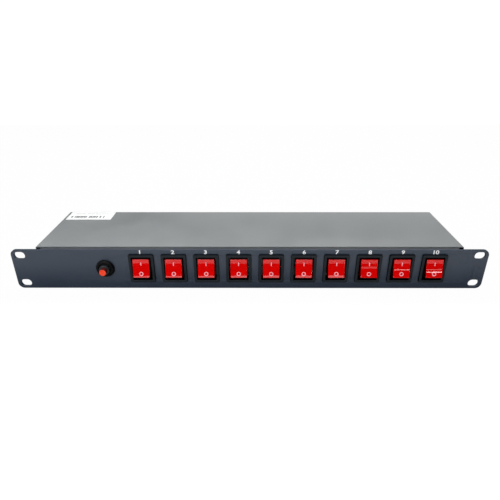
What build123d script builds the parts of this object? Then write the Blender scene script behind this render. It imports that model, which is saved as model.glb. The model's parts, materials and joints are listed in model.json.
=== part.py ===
from build123d import *
import os

# Rack power strip, one rack unit high: a slotted front panel with ten lit rocker switches and a push-to-reset
# breaker, a folded tray that carries ten outlets and the mains inlet at the rear, and a folded cover.
# Frame: X to the right seen from the front, Y to the rear, Z up. The origin is the centre of the four rack
# slots, on the rear face of the front panel, which bears on the rack's rails. All lengths are in millimetres.

# Front panel
PANEL_WIDTH = 482.6
PANEL_HEIGHT = 44.4
PANEL_THICK = 2.5
PANEL_CORNER_R = 6.0
PANEL_CHAMFER = 0.25
PANEL_FRONT_Y = -PANEL_THICK
SLOT_PITCH_X = 465.1
SLOT_PITCH_Z = 31.75
SLOT_LENGTH = 11.0
SLOT_WIDTH = 8.0

# Tray and cover
SHEET = 1.2
BODY_WIDTH = 438.0
BODY_TOP_Z = 22.0
BODY_BOTTOM_Z = -22.0
BODY_REAR_Y = 101.6
COVER_FRONT_Y = 6.0
COVER_LOWER_Z = BODY_BOTTOM_Z + 0.4
COVER_BEND_R = 1.9
TRAY_HALF_X = 217.4
TRAY_TOP_Z = BODY_TOP_Z - SHEET
TRAY_BEND_R = 1.6
TRAY_OPENING_SPARE = 0.4
RETURN_DEPTH = 13.0
RETURN_HALF_X = 213.0
RETURN_CUT = 3.0
SIDE_WALL_Z = (BODY_BOTTOM_Z + 2.0, TRAY_TOP_Z - 4.0)
REAR_WALL_Y = BODY_REAR_Y - SHEET
SIDE_TAB_Y = (18.0, 72.0)
SIDE_TAB_LENGTH = 14.0
SIDE_TAB_TOP_Z = -8.0
SWITCH_OPENING = (25.0, 32.0)

# Screws, nuts and studs
M3_R = 1.5
M3_SPARE = 0.1
NUT_FLATS = 5.5
NUT_THICK = 2.4
STUD_X = (-207.0, -129.0, 38.8, 207.0)
STUD_Z = 13.5
STUD_LENGTH = 8.0
STUD_SPARE = 0.2
COVER_SCREW_Z = -13.5
PAN_HEAD = (2.8, 1.7, 0.9)
RECESS_ARM = (3.2, 0.7)
RECESS_DEPTH = 0.8

# Label on the cover
LABEL_SIZE = (52.8, 23.4, 0.12)
LABEL_INSET = (3.8, 0.6)
LABEL_CORNER_R = 1.0

# Rocker switches
SWITCH_COUNT = 10
SWITCH_PITCH = 33.0
SWITCH_FIRST_X = -109.7
SWITCH_Z = 1.6
BEZEL_WIDTH = 25.6
BEZEL_HEIGHT = 31.6
BEZEL_THICK = 2.0
BEZEL_FRONT_Y = PANEL_FRONT_Y - BEZEL_THICK
BEZEL_CORNER_R = 1.2
BEZEL_CHAMFER = 0.7
CASE_WIDTH = 21.8
CASE_HEIGHT = 27.8
CASE_REAR_Y = 19.5
CASE_FLOOR = 1.5
CASE_FLOOR_Y = CASE_REAR_Y - CASE_FLOOR
CASE_INNER_WIDTH = 19.6
CASE_INNER_HEIGHT = 25.6
CUTOUT_SPARE = 0.4
CUTOUT_CORNER_R = 0.6
SNAP_RISE = 1.1
SNAP_LENGTH = 4.5
SNAP_HALF_WIDTH = 4.0
TERMINAL_Z = 8.5
TERMINAL_END_Y = 27.0
TAB_WIDTH = 6.3
TAB_THICK = 0.8
TAB_SPARE = 0.1

# Rocker, about its pivot
ROCKER_PIVOT_Y = 1.5
ROCKER_REST_TILT = -13.0
ROCKER_WIDTH = 17.8
ROCKER_HALF_LENGTH = 10.2
ROCKER_FACE = 9.5
ROCKER_DISH = 1.1
ROCKER_WALL = 1.5
ROCKER_EDGE_R = 1.0
ROCKER_SIDE_Y = -1.5
ROCKER_SIDE_INSET = 0.5
ROCKER_BACK_Y = 2.4
ROCKER_BACK_HALF_Z = 3.4
STEM_R = 2.4
STEM_END_Y = 9.0
STEM_BORE_R = 1.3
STEM_BORE_Y = 2.0
TRUNNION_R = 1.5
TRUNNION_REACH = 10.8
RUNNING_CLEARANCE = 0.05

# See-saw contact, fixed contacts and lamp inside each switch
LEVER_PIVOT_Y = 13.8
LEVER_REST_TILT = 8.0
LEVER_KNUCKLE_R = 0.9
LEVER_HALF_LENGTH = 8.9
LEVER_WIDTH = 5.0
LEVER_FRONT_Y = -1.6
LEVER_THICK = 0.8
CRADLE_DEPTH = 1.9
CRADLE_HEIGHT = 3.6
CONTACT_TIP_Y = 14.4
CONTACT_TIP_R = 1.2
CONTACT_PLATE_Y = 15.1
CONTACT_PLATE_HEIGHT = 4.0
LAMP_RETURN_Y = 16.4
LAMP_X = 4.95
LAMP_R = 1.9
LAMP_Y = (-1.5, 8.0)
LAMP_TIP_R = 1.5
LAMP_LEAD_R = 0.35
RESISTOR_R = 1.1
RESISTOR_Y = (9.6, 14.6)

# Breaker
BREAKER_X = -147.3
BREAKER_BODY = (15.0, 34.0)
BREAKER_BODY_REAR_Y = 27.0
BREAKER_EDGE_R = 1.0
BREAKER_TAB_Z = 8.0
BREAKER_TAB_ROOT_Y = BREAKER_BODY_REAR_Y - 4.0
BREAKER_TAB_END_Y = 35.0
NECK_R = 5.2
NECK_SPARE = 0.2
NECK_CHAMFER = 0.5
NECK_FRONT_Y = PANEL_FRONT_Y - 6.2
RING_R = 9.5
RING_RIM_R = 8.1
RING_HEIGHT = 3.4
RING_FOOT = 1.2
RING_RECESS_R = 6.7
RING_RECESS_FLOOR = 1.0
RING_SPARE = 0.03
RING_GROOVES = 24
RING_GROOVE_R = 0.35
BUTTON_R = 3.6
BUTTON_SPARE = 0.08
BUTTON_EDGE_R = 0.5
BUTTON_FRONT_Y = PANEL_FRONT_Y - 10.4
BUTTON_REAR_Y = 2.0
BUTTON_BORE_END_Y = 8.0

# Outlets in the rear wall, each behind its own switch
OUTLET_FLANGE = (27.0, 38.0, 2.0)
OUTLET_FLANGE_R = 1.5
OUTLET_CHAMFER = 0.6
OUTLET_BODY = (23.6, 33.6)
OUTLET_INNER_Y = 80.0
OUTLET_FACE_Y = BODY_REAR_Y + OUTLET_FLANGE[2]
OUTLET_FACE_THICK = 2.6
OUTLET_BACK_THICK = 2.0
OUTLET_EAR = (1.2, 5.0, 4.0)
OUTLET_TAB_END_Y = 73.0
BLADE_X = 6.35
BLADE_Z = 5.0
BLADE_WIDTH = 1.9
LINE_SLOT_HEIGHT = 6.8
NEUTRAL_SLOT_HEIGHT = 8.4
BLADE_CAVITY_WIDTH = 5.5
BLADE_CAVITY_Z = (0.0, 10.2)
EARTH_Z = -6.9
EARTH_R = 2.55
EARTH_CAVITY_WIDTH = 5.8
EARTH_CAVITY_Z = (-10.6, -3.6)
LINE_TAB_Z = (5.2, 10.0)
NEUTRAL_TAB_Z = (0.2, 4.8)
EARTH_TAB_Z = (-10.3, -5.5)

# Contact clips in the outlets
CLIP_SHEET = 0.6
CLIP_WEB_Y = (85.2, 86.0)
CLIP_LEAF_END_Y = 100.5
BLADE_CLIP_GAP = 2.2
EARTH_CLIP_GAP = 3.4

# Mains inlet
INLET_X = -170.0
INLET_FLANGE = (50.0, 24.0, 2.5)
INLET_FLANGE_R = 5.0
INLET_CHAMFER = 0.5
INLET_BODY = (27.2, 20.2)
INLET_BODY_R = 2.0
INLET_INNER_Y = 84.0
INLET_FACE_Y = BODY_REAR_Y + INLET_FLANGE[2]
INLET_CAVITY = (24.4, 16.6, 16.5)
INLET_KEY = 4.5
INLET_SCREW_PITCH = 40.0
INLET_SCREW_HEAD = (2.9, 1.5)
INLET_SCREW_SPARE = 0.05
INLET_RECESS = (4.4, 0.8, 0.7)
INLET_PIN_X = 7.0
INLET_PIN_Z = 2.0
INLET_PIN = (2.0, 4.0)
INLET_PIN_FRONT_Y = INLET_FACE_Y - 3.2
INLET_LINE_END_Y = 76.0

# Bars and leads
BAR_THICK = 1.2
LIVE_BAR_HEIGHT = 6.0
LAMP_BAR_HEIGHT = 4.0
REAR_BAR_Z = (-0.6, 3.6)
NEUTRAL_LINK_X = 198.0
NEUTRAL_LINK_Z = 1.6
EARTH_BAR_Z = (-10.0, -6.0)
EARTH_UPSTAND_TOP_Z = 4.0
EARTH_FOOT_X = -204.0
EARTH_FOOT_Y = 65.0
EARTH_FOOT_WIDTH = 8.0
EARTH_STUD_LENGTH = 7.4
LEAD_R = 1.4
LEAD_BEND = 0.45

# How far a cutting tool runs past the surface that it cuts
OVERRUN = 1.0

SWITCH_X = [SWITCH_FIRST_X + SWITCH_PITCH * k for k in range(SWITCH_COUNT)]


def block(x, y, z):
    """A box between the two limits given for each axis."""
    size = (x[1] - x[0], y[1] - y[0], z[1] - z[0])
    centre = Pos((x[0] + x[1]) / 2, (y[0] + y[1]) / 2, (z[0] + z[1]) / 2)
    return centre * Box(*size)


def around(centre, width):
    """The two limits of a width about a centre."""
    return (centre - width / 2, centre + width / 2)


def outwards(side, near, far):
    """The two limits of a stretch along X on one side, smaller first."""
    return sorted((side * near, side * far))


def rod_y(radius, y, x=0.0, z=0.0):
    """A round bar along Y between two limits."""
    return Pos(x, (y[0] + y[1]) / 2, z) * Rot(90, 0, 0) * Cylinder(radius, y[1] - y[0])


def rod_x(radius, x, y=0.0, z=0.0):
    """A round bar along X between two limits."""
    return Pos((x[0] + x[1]) / 2, y, z) * Rot(0, 90, 0) * Cylinder(radius, x[1] - x[0])


def front_plate(sketch, y):
    """A sketch drawn in X and Z, given thickness between two limits of Y."""
    return extrude(Plane.XZ.offset(-y[1]) * sketch, amount=y[1] - y[0])


def edges_at_y(shape, y):
    """The edges of a shape that lie wholly at one Y."""
    level = []
    for edge in shape.edges():
        heights = [v.Y for v in edge.vertices()] + [edge.center().Y]
        if all(abs(h - y) < 1e-4 for h in heights):
            level.append(edge)
    return level


def four_ways(half_x, half_z):
    """The four points at plus and minus two distances from the origin."""
    return [(sx * half_x, sz * half_z) for sx in (-1, 1) for sz in (-1, 1)]


def nut_outline():
    """The outline of a nut."""
    return RegularPolygon(NUT_FLATS / 2, 6, major_radius=False) - Circle(M3_R)


def front_panel():
    """The flat panel with four rack slots, ten switch cut-outs and the breaker's hole."""
    outline = RectangleRounded(PANEL_WIDTH, PANEL_HEIGHT, PANEL_CORNER_R)
    for x, z in four_ways(SLOT_PITCH_X / 2, SLOT_PITCH_Z / 2):
        outline -= Pos(x, z) * SlotOverall(SLOT_LENGTH, SLOT_WIDTH)
    cutout = RectangleRounded(CASE_WIDTH + CUTOUT_SPARE, CASE_HEIGHT + CUTOUT_SPARE, CUTOUT_CORNER_R)
    for x in SWITCH_X:
        outline -= Pos(x, SWITCH_Z) * cutout
    outline -= Pos(BREAKER_X, SWITCH_Z) * Circle(NECK_R + NECK_SPARE)
    plate = front_plate(outline, (PANEL_FRONT_Y, 0))
    return chamfer(edges_at_y(plate, PANEL_FRONT_Y), PANEL_CHAMFER)


def panel_fixings():
    """Studs welded to the back of the panel, and the nuts that draw the tray on to it."""
    pieces = []
    for x in STUD_X:
        for z in (-STUD_Z, STUD_Z):
            pieces.append(rod_y(M3_R, (0, STUD_LENGTH), x, z))
            pieces.append(front_plate(Pos(x, z) * nut_outline(), (SHEET, SHEET + NUT_THICK)))
    return pieces


def tray_sheet():
    """The tray's closed section, cut open between its two top returns, with its side walls and screw tabs."""
    depth = BODY_REAR_Y
    height = TRAY_TOP_Z - BODY_BOTTOM_Z
    outer = RectangleRounded(depth, height, TRAY_BEND_R)
    inner = RectangleRounded(depth - 2 * SHEET, height - 2 * SHEET, TRAY_BEND_R - SHEET)
    section = Plane.YZ * Pos(depth / 2, (TRAY_TOP_Z + BODY_BOTTOM_Z) / 2) * (outer - inner)
    tray = extrude(section, amount=TRAY_HALF_X, both=True)
    wide = (-TRAY_HALF_X - OVERRUN, TRAY_HALF_X + OVERRUN)
    roof = (TRAY_TOP_Z - RETURN_CUT, TRAY_TOP_Z + OVERRUN)
    tray -= block(wide, (RETURN_DEPTH, depth - RETURN_DEPTH), roof)
    for side in (-1, 1):
        end = outwards(side, RETURN_HALF_X, TRAY_HALF_X + OVERRUN)
        tray -= block(end, (-OVERRUN, depth + OVERRUN), roof)
        wall = outwards(side, TRAY_HALF_X - SHEET, TRAY_HALF_X)
        tray += block(wall, (SHEET / 2, RETURN_DEPTH - 1), SIDE_WALL_Z)
        tray += block(wall, (depth - RETURN_DEPTH + 1, depth - SHEET / 2), SIDE_WALL_Z)
        reach = outwards(side, TRAY_HALF_X - 2 * SHEET, TRAY_HALF_X + OVERRUN)
        for y in SIDE_TAB_Y:
            tray += block(wall, (y, y + SIDE_TAB_LENGTH), (BODY_BOTTOM_Z + SHEET / 2, SIDE_TAB_TOP_Z))
            tray -= rod_x(M3_R, reach, y + SIDE_TAB_LENGTH / 2, COVER_SCREW_Z)
    return tray


def chassis_tray():
    """One folded sheet: floor, front and rear walls, returns and side walls, with every opening cut."""
    tray = tray_sheet()
    front = (-OVERRUN, SHEET + OVERRUN)
    rear = (REAR_WALL_Y - OVERRUN, BODY_REAR_Y + OVERRUN)
    outlet_width, outlet_height = [size + TRAY_OPENING_SPARE for size in OUTLET_BODY]
    for x in SWITCH_X:
        tray -= block(around(x, SWITCH_OPENING[0]), front, around(SWITCH_Z, SWITCH_OPENING[1]))
        tray -= block(around(x, outlet_width), rear, around(0, outlet_height))
    tray -= rod_y(NECK_R + NECK_SPARE, front, BREAKER_X, SWITCH_Z)
    inlet_width, inlet_height = [size + TRAY_OPENING_SPARE for size in INLET_BODY]
    tray -= block(around(INLET_X, inlet_width), rear, around(0, inlet_height))
    for side in (-1, 1):
        tray -= rod_y(M3_R + M3_SPARE, rear, INLET_X + side * INLET_SCREW_PITCH / 2)
    for x in STUD_X:
        for z in (-STUD_Z, STUD_Z):
            tray -= rod_y(M3_R + STUD_SPARE, front, x, z)
    tray -= Pos(EARTH_FOOT_X, EARTH_FOOT_Y, BODY_BOTTOM_Z) * Cylinder(M3_R + M3_SPARE, 4 * SHEET)
    return tray


def top_cover():
    """One folded sheet over the tray: the top and both sides, with a hole for each side screw."""
    height = BODY_TOP_Z - COVER_LOWER_Z
    section = Rectangle(BODY_WIDTH, height)
    section = fillet(section.vertices().group_by(Axis.Y)[-1], COVER_BEND_R)
    inner = Rectangle(BODY_WIDTH - 2 * SHEET, height)
    inner = fillet(inner.vertices().group_by(Axis.Y)[-1], COVER_BEND_R - SHEET)
    section -= Pos(0, -SHEET) * inner
    middle_z = (BODY_TOP_Z + COVER_LOWER_Z) / 2
    cover = front_plate(Pos(0, middle_z) * section, (COVER_FRONT_Y, BODY_REAR_Y))
    through = around(0, BODY_WIDTH + 2 * OVERRUN)
    for y in SIDE_TAB_Y:
        cover -= rod_x(M3_R + M3_SPARE, through, y + SIDE_TAB_LENGTH / 2, COVER_SCREW_Z)
    return cover


def cover_screws():
    """Pan-head screws through the cover's sides into the tray's tabs."""
    screws = []
    outside = BODY_WIDTH / 2
    head_r, head_height, head_round = PAN_HEAD
    long_arm, short_arm = RECESS_ARM
    for side in (-1, 1):
        top = side * (outside + head_height)
        head = rod_x(head_r, outwards(side, outside, outside + head_height))
        rim = [e for e in head.edges() if abs(e.center().X - top) < 1e-3]
        head = fillet(rim, head_round)
        recess = block(around(top, 2 * RECESS_DEPTH), around(0, short_arm), around(0, long_arm))
        recess += block(around(top, 2 * RECESS_DEPTH), around(0, long_arm), around(0, short_arm))
        shank = rod_x(M3_R, outwards(side, TRAY_HALF_X - 2 * SHEET, outside))
        for y in SIDE_TAB_Y:
            screws.append(Pos(0, y + SIDE_TAB_LENGTH / 2, COVER_SCREW_Z) * (shank + head - recess))
    return screws


def rating_label():
    """A paper label at the rear left of the cover's top."""
    length, width, thick = LABEL_SIZE
    centre_x = -BODY_WIDTH / 2 + LABEL_INSET[0] + length / 2
    centre_y = BODY_REAR_Y - LABEL_INSET[1] - width / 2
    label = RectangleRounded(length, width, LABEL_CORNER_R)
    return Pos(centre_x, centre_y, BODY_TOP_Z) * extrude(label, amount=thick)


def switch_housing():
    """The moulded case, about the switch's centre: bezel, pivot holes, terminal slots and snap wings."""
    bezel = RectangleRounded(BEZEL_WIDTH, BEZEL_HEIGHT, BEZEL_CORNER_R)
    bezel = front_plate(bezel, (BEZEL_FRONT_Y, PANEL_FRONT_Y))
    bezel = chamfer(edges_at_y(bezel, BEZEL_FRONT_Y), BEZEL_CHAMFER)
    housing = bezel + front_plate(Rectangle(CASE_WIDTH, CASE_HEIGHT), (PANEL_FRONT_Y, CASE_REAR_Y))
    inside = Rectangle(CASE_INNER_WIDTH, CASE_INNER_HEIGHT)
    housing -= front_plate(inside, (BEZEL_FRONT_Y - OVERRUN, CASE_FLOOR_Y))
    housing -= rod_x(TRUNNION_R + RUNNING_CLEARANCE, (-CASE_WIDTH, CASE_WIDTH), ROCKER_PIVOT_Y)
    floor = (CASE_FLOOR_Y - OVERRUN, CASE_REAR_Y + OVERRUN)
    for z in (-TERMINAL_Z, 0, TERMINAL_Z):
        housing -= block(around(0, TAB_WIDTH + TAB_SPARE), floor, around(z, TAB_THICK + TAB_SPARE))
    for side in (-1, 1):
        edge = side * CASE_HEIGHT / 2
        with BuildSketch(Plane.YZ) as wedge:
            with BuildLine():
                Polyline((0, edge), (0, edge + side * SNAP_RISE), (SNAP_LENGTH, edge), close=True)
            make_face()
        housing += extrude(wedge.sketch, amount=SNAP_HALF_WIDTH, both=True)
    return housing


def rocker_section(inset):
    """The rocker's section in Y and Z, drawn in by an inset: a dished face over sides that close in."""
    half = ROCKER_HALF_LENGTH
    side = half - ROCKER_SIDE_INSET - inset
    back = ROCKER_BACK_HALF_Z - inset * 0.3
    face = -ROCKER_FACE + inset
    top = (face, half - inset)
    low = (face, -half + inset)
    with BuildSketch(Plane.YZ) as sketch:
        with BuildLine():
            ThreePointArc(low, (face + ROCKER_DISH, 0), top)
            Polyline(top, (ROCKER_SIDE_Y, side), (ROCKER_BACK_Y, back),
                     (ROCKER_BACK_Y, -back), (ROCKER_SIDE_Y, -side), low)
        make_face()
    return sketch.sketch


def rocker():
    """The lens that the finger presses: a dished hollow cap with two trunnions and a spring stem.

    It is drawn level about its pivot at the origin, with its face towards -Y.
    """
    inner_half_width = ROCKER_WIDTH / 2 - ROCKER_WALL
    dish_floor = -ROCKER_FACE + ROCKER_DISH
    cap = extrude(rocker_section(0.0), amount=ROCKER_WIDTH / 2, both=True)
    cap = fillet([e for e in cap.edges() if e.center().Y < dish_floor + 0.05], ROCKER_EDGE_R)
    cap -= extrude(rocker_section(ROCKER_WALL), amount=inner_half_width, both=True)
    cap -= block(around(0, 2 * inner_half_width), (1.0, ROCKER_BACK_Y + OVERRUN), (-3.2, 3.2))
    cap += rod_y(STEM_R, (dish_floor + ROCKER_WALL / 2, STEM_END_Y))
    cap -= rod_y(STEM_BORE_R, (STEM_BORE_Y, STEM_END_Y + OVERRUN))
    for side in (-1, 1):
        cap += rod_x(TRUNNION_R, outwards(side, inner_half_width, TRUNNION_REACH))
    return cap


def contact_lever():
    """The brass see-saw that the rocker's spring tips on to the live contact, level about its pivot."""
    y = (LEVER_FRONT_Y, LEVER_FRONT_Y + LEVER_THICK)
    lever = block(around(0, LEVER_WIDTH), y, around(0, 2 * LEVER_HALF_LENGTH))
    return lever + rod_x(LEVER_KNUCKLE_R, around(0, LEVER_WIDTH - 0.4))


def switch_terminals():
    """Each switch's terminals: the common with its cradle, the switched contact and the lamp's return."""
    wide = around(0, TAB_WIDTH)
    narrow = around(0, LEVER_WIDTH)
    cradle_end = LEVER_PIVOT_Y + CRADLE_DEPTH
    plate_end = CONTACT_PLATE_Y + TAB_THICK
    cradle = block(narrow, (LEVER_PIVOT_Y, cradle_end), around(0, CRADLE_HEIGHT))
    cradle -= rod_x(LEVER_KNUCKLE_R + RUNNING_CLEARANCE, around(0, LEVER_WIDTH + OVERRUN), LEVER_PIVOT_Y)
    common = cradle + block(wide, (cradle_end, TERMINAL_END_Y), around(0, TAB_THICK))
    switched = block(narrow, (CONTACT_PLATE_Y, plate_end), around(-TERMINAL_Z, CONTACT_PLATE_HEIGHT))
    switched += rod_y(CONTACT_TIP_R, (CONTACT_TIP_Y, CONTACT_PLATE_Y), 0, -TERMINAL_Z)
    switched += block(wide, (plate_end, TERMINAL_END_Y), around(-TERMINAL_Z, TAB_THICK))
    lamp_return = block(wide, (LAMP_RETURN_Y, TERMINAL_END_Y), around(TERMINAL_Z, TAB_THICK))
    return [Pos(x, 0, SWITCH_Z) * piece for x in SWITCH_X for piece in (common, switched, lamp_return)]


def switch_lamps():
    """A neon lamp with its series resistor beside the spring stem of each rocker."""
    wire = rod_y(LAMP_LEAD_R, (LAMP_Y[1], CASE_FLOOR_Y))
    lamp = rod_y(LAMP_R, LAMP_Y) + wire + rod_y(RESISTOR_R, RESISTOR_Y)
    lamp = fillet(edges_at_y(lamp, LAMP_Y[0]), LAMP_TIP_R)
    return [Pos(x + LAMP_X, 0, SWITCH_Z) * lamp for x in SWITCH_X]


def breaker_housing():
    """The breaker's case behind the panel, and its threaded neck through the panel."""
    width, height = BREAKER_BODY
    case = block(around(0, width), (SHEET, BREAKER_BODY_REAR_Y), around(0, height))
    case = fillet(case.edges().filter_by(Axis.Y), BREAKER_EDGE_R)
    housing = case + rod_y(NECK_R, (NECK_FRONT_Y, SHEET + OVERRUN))
    housing = chamfer(edges_at_y(housing, NECK_FRONT_Y), NECK_CHAMFER)
    housing -= rod_y(BUTTON_R + BUTTON_SPARE, (NECK_FRONT_Y - OVERRUN, BUTTON_BORE_END_Y))
    root = (BREAKER_TAB_ROOT_Y, BREAKER_BODY_REAR_Y + OVERRUN)
    for z in (-BREAKER_TAB_Z, BREAKER_TAB_Z):
        housing -= block(around(0, TAB_WIDTH), root, around(z, TAB_THICK))
    return Pos(BREAKER_X, 0, SWITCH_Z) * housing


def breaker_terminals():
    """The breaker's two blade terminals."""
    y = (BREAKER_TAB_ROOT_Y, BREAKER_TAB_END_Y)
    heights = (SWITCH_Z - BREAKER_TAB_Z, SWITCH_Z + BREAKER_TAB_Z)
    return [block(around(BREAKER_X, TAB_WIDTH), y, around(z, TAB_THICK)) for z in heights]


def breaker_ring():
    """The round nut that clamps the breaker to the panel, with a recess round the neck and a knurled rim."""
    foot = PANEL_FRONT_Y
    shoulder = foot - RING_FOOT
    rim = foot - RING_HEIGHT
    with BuildSketch(Plane.XZ.offset(-shoulder)) as base:
        Circle(RING_R)
    with BuildSketch(Plane.XZ.offset(-rim)) as front:
        Circle(RING_RIM_R)
    ring = rod_y(RING_R, (shoulder, foot)) + loft([base.sketch.face(), front.sketch.face()])
    ring -= rod_y(NECK_R + RING_SPARE, (rim - OVERRUN, foot + OVERRUN))
    ring -= rod_y(RING_RECESS_R, (rim - OVERRUN, foot - RING_RECESS_FLOOR))
    for k in range(RING_GROOVES):
        turn = Rot(0, 360 / RING_GROOVES * k, 0)
        ring -= turn * rod_y(RING_GROOVE_R, (rim - OVERRUN, foot - 0.5), RING_R + 0.12)
    return Pos(BREAKER_X, 0, SWITCH_Z) * ring


def breaker_button():
    """The reset button that slides in the breaker's neck."""
    button = rod_y(BUTTON_R, (BUTTON_FRONT_Y, BUTTON_REAR_Y), BREAKER_X, SWITCH_Z)
    return fillet(edges_at_y(button, BUTTON_FRONT_Y), BUTTON_EDGE_R)


def outlet():
    """A snap-in outlet with two blade slots and a round earth hole, about X 0."""
    width, height, thick = OUTLET_FLANGE
    flange = front_plate(RectangleRounded(width, height, OUTLET_FLANGE_R), (BODY_REAR_Y, OUTLET_FACE_Y))
    flange = chamfer(edges_at_y(flange, OUTLET_FACE_Y), OUTLET_CHAMFER)
    shape = flange + front_plate(Rectangle(*OUTLET_BODY), (OUTLET_INNER_Y, BODY_REAR_Y))
    cavity = (OUTLET_INNER_Y + OUTLET_BACK_THICK, OUTLET_FACE_Y - OUTLET_FACE_THICK)
    mouth = (cavity[1] - OVERRUN, OUTLET_FACE_Y + OVERRUN)
    tail = (OUTLET_INNER_Y - OVERRUN, cavity[0] + OVERRUN)
    ways = [(-BLADE_X, LINE_SLOT_HEIGHT, LINE_TAB_Z), (BLADE_X, NEUTRAL_SLOT_HEIGHT, NEUTRAL_TAB_Z)]
    for x, slot_height, tab_z in ways:
        shape -= block(around(x, BLADE_CAVITY_WIDTH), cavity, BLADE_CAVITY_Z)
        shape -= block(around(x, BLADE_WIDTH), mouth, around(BLADE_Z, slot_height))
        shape -= tab_slot(x, tail, tab_z)
    shape -= block(around(0, EARTH_CAVITY_WIDTH), cavity, EARTH_CAVITY_Z)
    shape -= rod_y(EARTH_R, mouth, 0, EARTH_Z)
    shape -= tab_slot(0, tail, EARTH_TAB_Z)
    rise, length, half_height = OUTLET_EAR
    for side in (-1, 1):
        edge = side * OUTLET_BODY[0] / 2
        with BuildSketch(Plane.XY) as wedge:
            with BuildLine():
                Polyline((edge, REAR_WALL_Y), (edge + side * rise, REAR_WALL_Y),
                         (edge, REAR_WALL_Y - length), close=True)
            make_face()
        shape += extrude(wedge.sketch, amount=half_height, both=True)
    return shape


def tab_slot(x, y, tab_z):
    """The slot in an outlet's back that a clip's tab runs through."""
    z = (tab_z[0] - TAB_SPARE / 2, tab_z[1] + TAB_SPARE / 2)
    return block(around(x, TAB_THICK + TAB_SPARE), y, z)


def contact_clip(x, leaf_gap, leaf_z, web_z, tab_z):
    """A sprung clip for one pin of the plug, with a tab through the outlet's back."""
    clip = block(around(x, leaf_gap + 2 * CLIP_SHEET), CLIP_WEB_Y, web_z)
    for side in (-1, 1):
        leaf_x = x + side * (leaf_gap + CLIP_SHEET) / 2
        clip += block(around(leaf_x, CLIP_SHEET), (CLIP_WEB_Y[1], CLIP_LEAF_END_Y), leaf_z)
    return clip + block(around(x, TAB_THICK), (OUTLET_TAB_END_Y, CLIP_WEB_Y[0]), tab_z)


def outlet_contacts():
    """Line, neutral and earth clips for every outlet."""
    line = contact_clip(-BLADE_X, BLADE_CLIP_GAP, (1.6, 8.4), (1.6, 10.0), LINE_TAB_Z)
    neutral = contact_clip(BLADE_X, BLADE_CLIP_GAP, (0.8, 9.2), (0.2, 9.2), NEUTRAL_TAB_Z)
    earth = contact_clip(0.0, EARTH_CLIP_GAP, (-9.4, -4.4), (-10.3, -4.4), EARTH_TAB_Z)
    return [Pos(x, 0, 0) * clip for x in SWITCH_X for clip in (line, neutral, earth)]


def inlet_pin_places():
    """Line, earth and neutral pins, as X and Z about the inlet's centre."""
    return [(-INLET_PIN_X, -INLET_PIN_Z), (0.0, INLET_PIN_Z), (INLET_PIN_X, -INLET_PIN_Z)]


def inlet_screw_head(x, spare=0.0):
    """A countersunk head, flush with the inlet's flange."""
    radius, height = INLET_SCREW_HEAD
    head = Cone(M3_R + spare, radius + spare, height)
    return Pos(x, INLET_FACE_Y - height / 2, 0) * Rot(-90, 0, 0) * head


def inlet_housing():
    """The mains inlet: a screwed flange round a keyed cavity."""
    width, height, thick = INLET_FLANGE
    flange = front_plate(RectangleRounded(width, height, INLET_FLANGE_R), (BODY_REAR_Y, INLET_FACE_Y))
    flange = chamfer(edges_at_y(flange, INLET_FACE_Y), INLET_CHAMFER)
    shape = flange + front_plate(RectangleRounded(*INLET_BODY, INLET_BODY_R), (INLET_INNER_Y, BODY_REAR_Y))
    cavity_width, cavity_height, cavity_depth = INLET_CAVITY
    floor = INLET_FACE_Y - cavity_depth
    cavity = Rectangle(cavity_width, cavity_height)
    cavity = chamfer(cavity.vertices().group_by(Axis.Y)[-1], INLET_KEY)
    shape -= front_plate(cavity, (floor, INLET_FACE_Y + OVERRUN))
    for side in (-1, 1):
        x = side * INLET_SCREW_PITCH / 2
        shape -= rod_y(M3_R + M3_SPARE, (BODY_REAR_Y - OVERRUN, INLET_FACE_Y + OVERRUN), x)
        shape -= inlet_screw_head(x, INLET_SCREW_SPARE)
    for x, z in inlet_pin_places():
        through = (INLET_INNER_Y - OVERRUN, floor + OVERRUN)
        shape -= block(around(x, INLET_PIN[0]), through, around(z, INLET_PIN[1]))
    return Pos(INLET_X, 0, 0) * shape


def inlet_pins():
    """The inlet's three flat pins, which run through its back as tabs."""
    pins = []
    ends = (INLET_LINE_END_Y, OUTLET_TAB_END_Y, OUTLET_TAB_END_Y)
    for (x, z), end in zip(inlet_pin_places(), ends):
        pin = block(around(INLET_X + x, INLET_PIN[0]), (end, INLET_PIN_FRONT_Y), around(z, INLET_PIN[1]))
        pins.append(chamfer(edges_at_y(pin, INLET_PIN_FRONT_Y), 0.5))
    return pins


def rear_screws():
    """The inlet's two screws and nuts, and the earth screw with its nut."""
    pieces = []
    long_arm, short_arm, depth = INLET_RECESS
    recess_y = (INLET_FACE_Y - depth, INLET_FACE_Y + OVERRUN)
    for side in (-1, 1):
        x = side * INLET_SCREW_PITCH / 2
        shank = rod_y(M3_R, (REAR_WALL_Y - 2 * NUT_THICK, INLET_FACE_Y - INLET_SCREW_HEAD[1]), x)
        recess = block(around(x, long_arm), recess_y, around(0, short_arm))
        recess += block(around(x, short_arm), recess_y, around(0, long_arm))
        pieces.append(Pos(INLET_X, 0, 0) * (shank + inlet_screw_head(x) - recess))
        nut_y = (REAR_WALL_Y - NUT_THICK, REAR_WALL_Y)
        pieces.append(front_plate(Pos(INLET_X + x, 0) * nut_outline(), nut_y))
    bar_top = BODY_BOTTOM_Z + SHEET + BAR_THICK
    foot = Pos(EARTH_FOOT_X, EARTH_FOOT_Y, bar_top)
    pieces.append(foot * Pos(0, 0, 1.3) * Cylinder(M3_R, EARTH_STUD_LENGTH))
    pieces.append(foot * extrude(nut_outline(), amount=NUT_THICK))
    return pieces


def live_bus():
    """The bar that joins the common terminals of all ten switches."""
    y = (TERMINAL_END_Y, TERMINAL_END_Y + BAR_THICK)
    return block((SWITCH_X[0] - 7, SWITCH_X[-1] + 4), y, around(SWITCH_Z, LIVE_BAR_HEIGHT))


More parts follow.
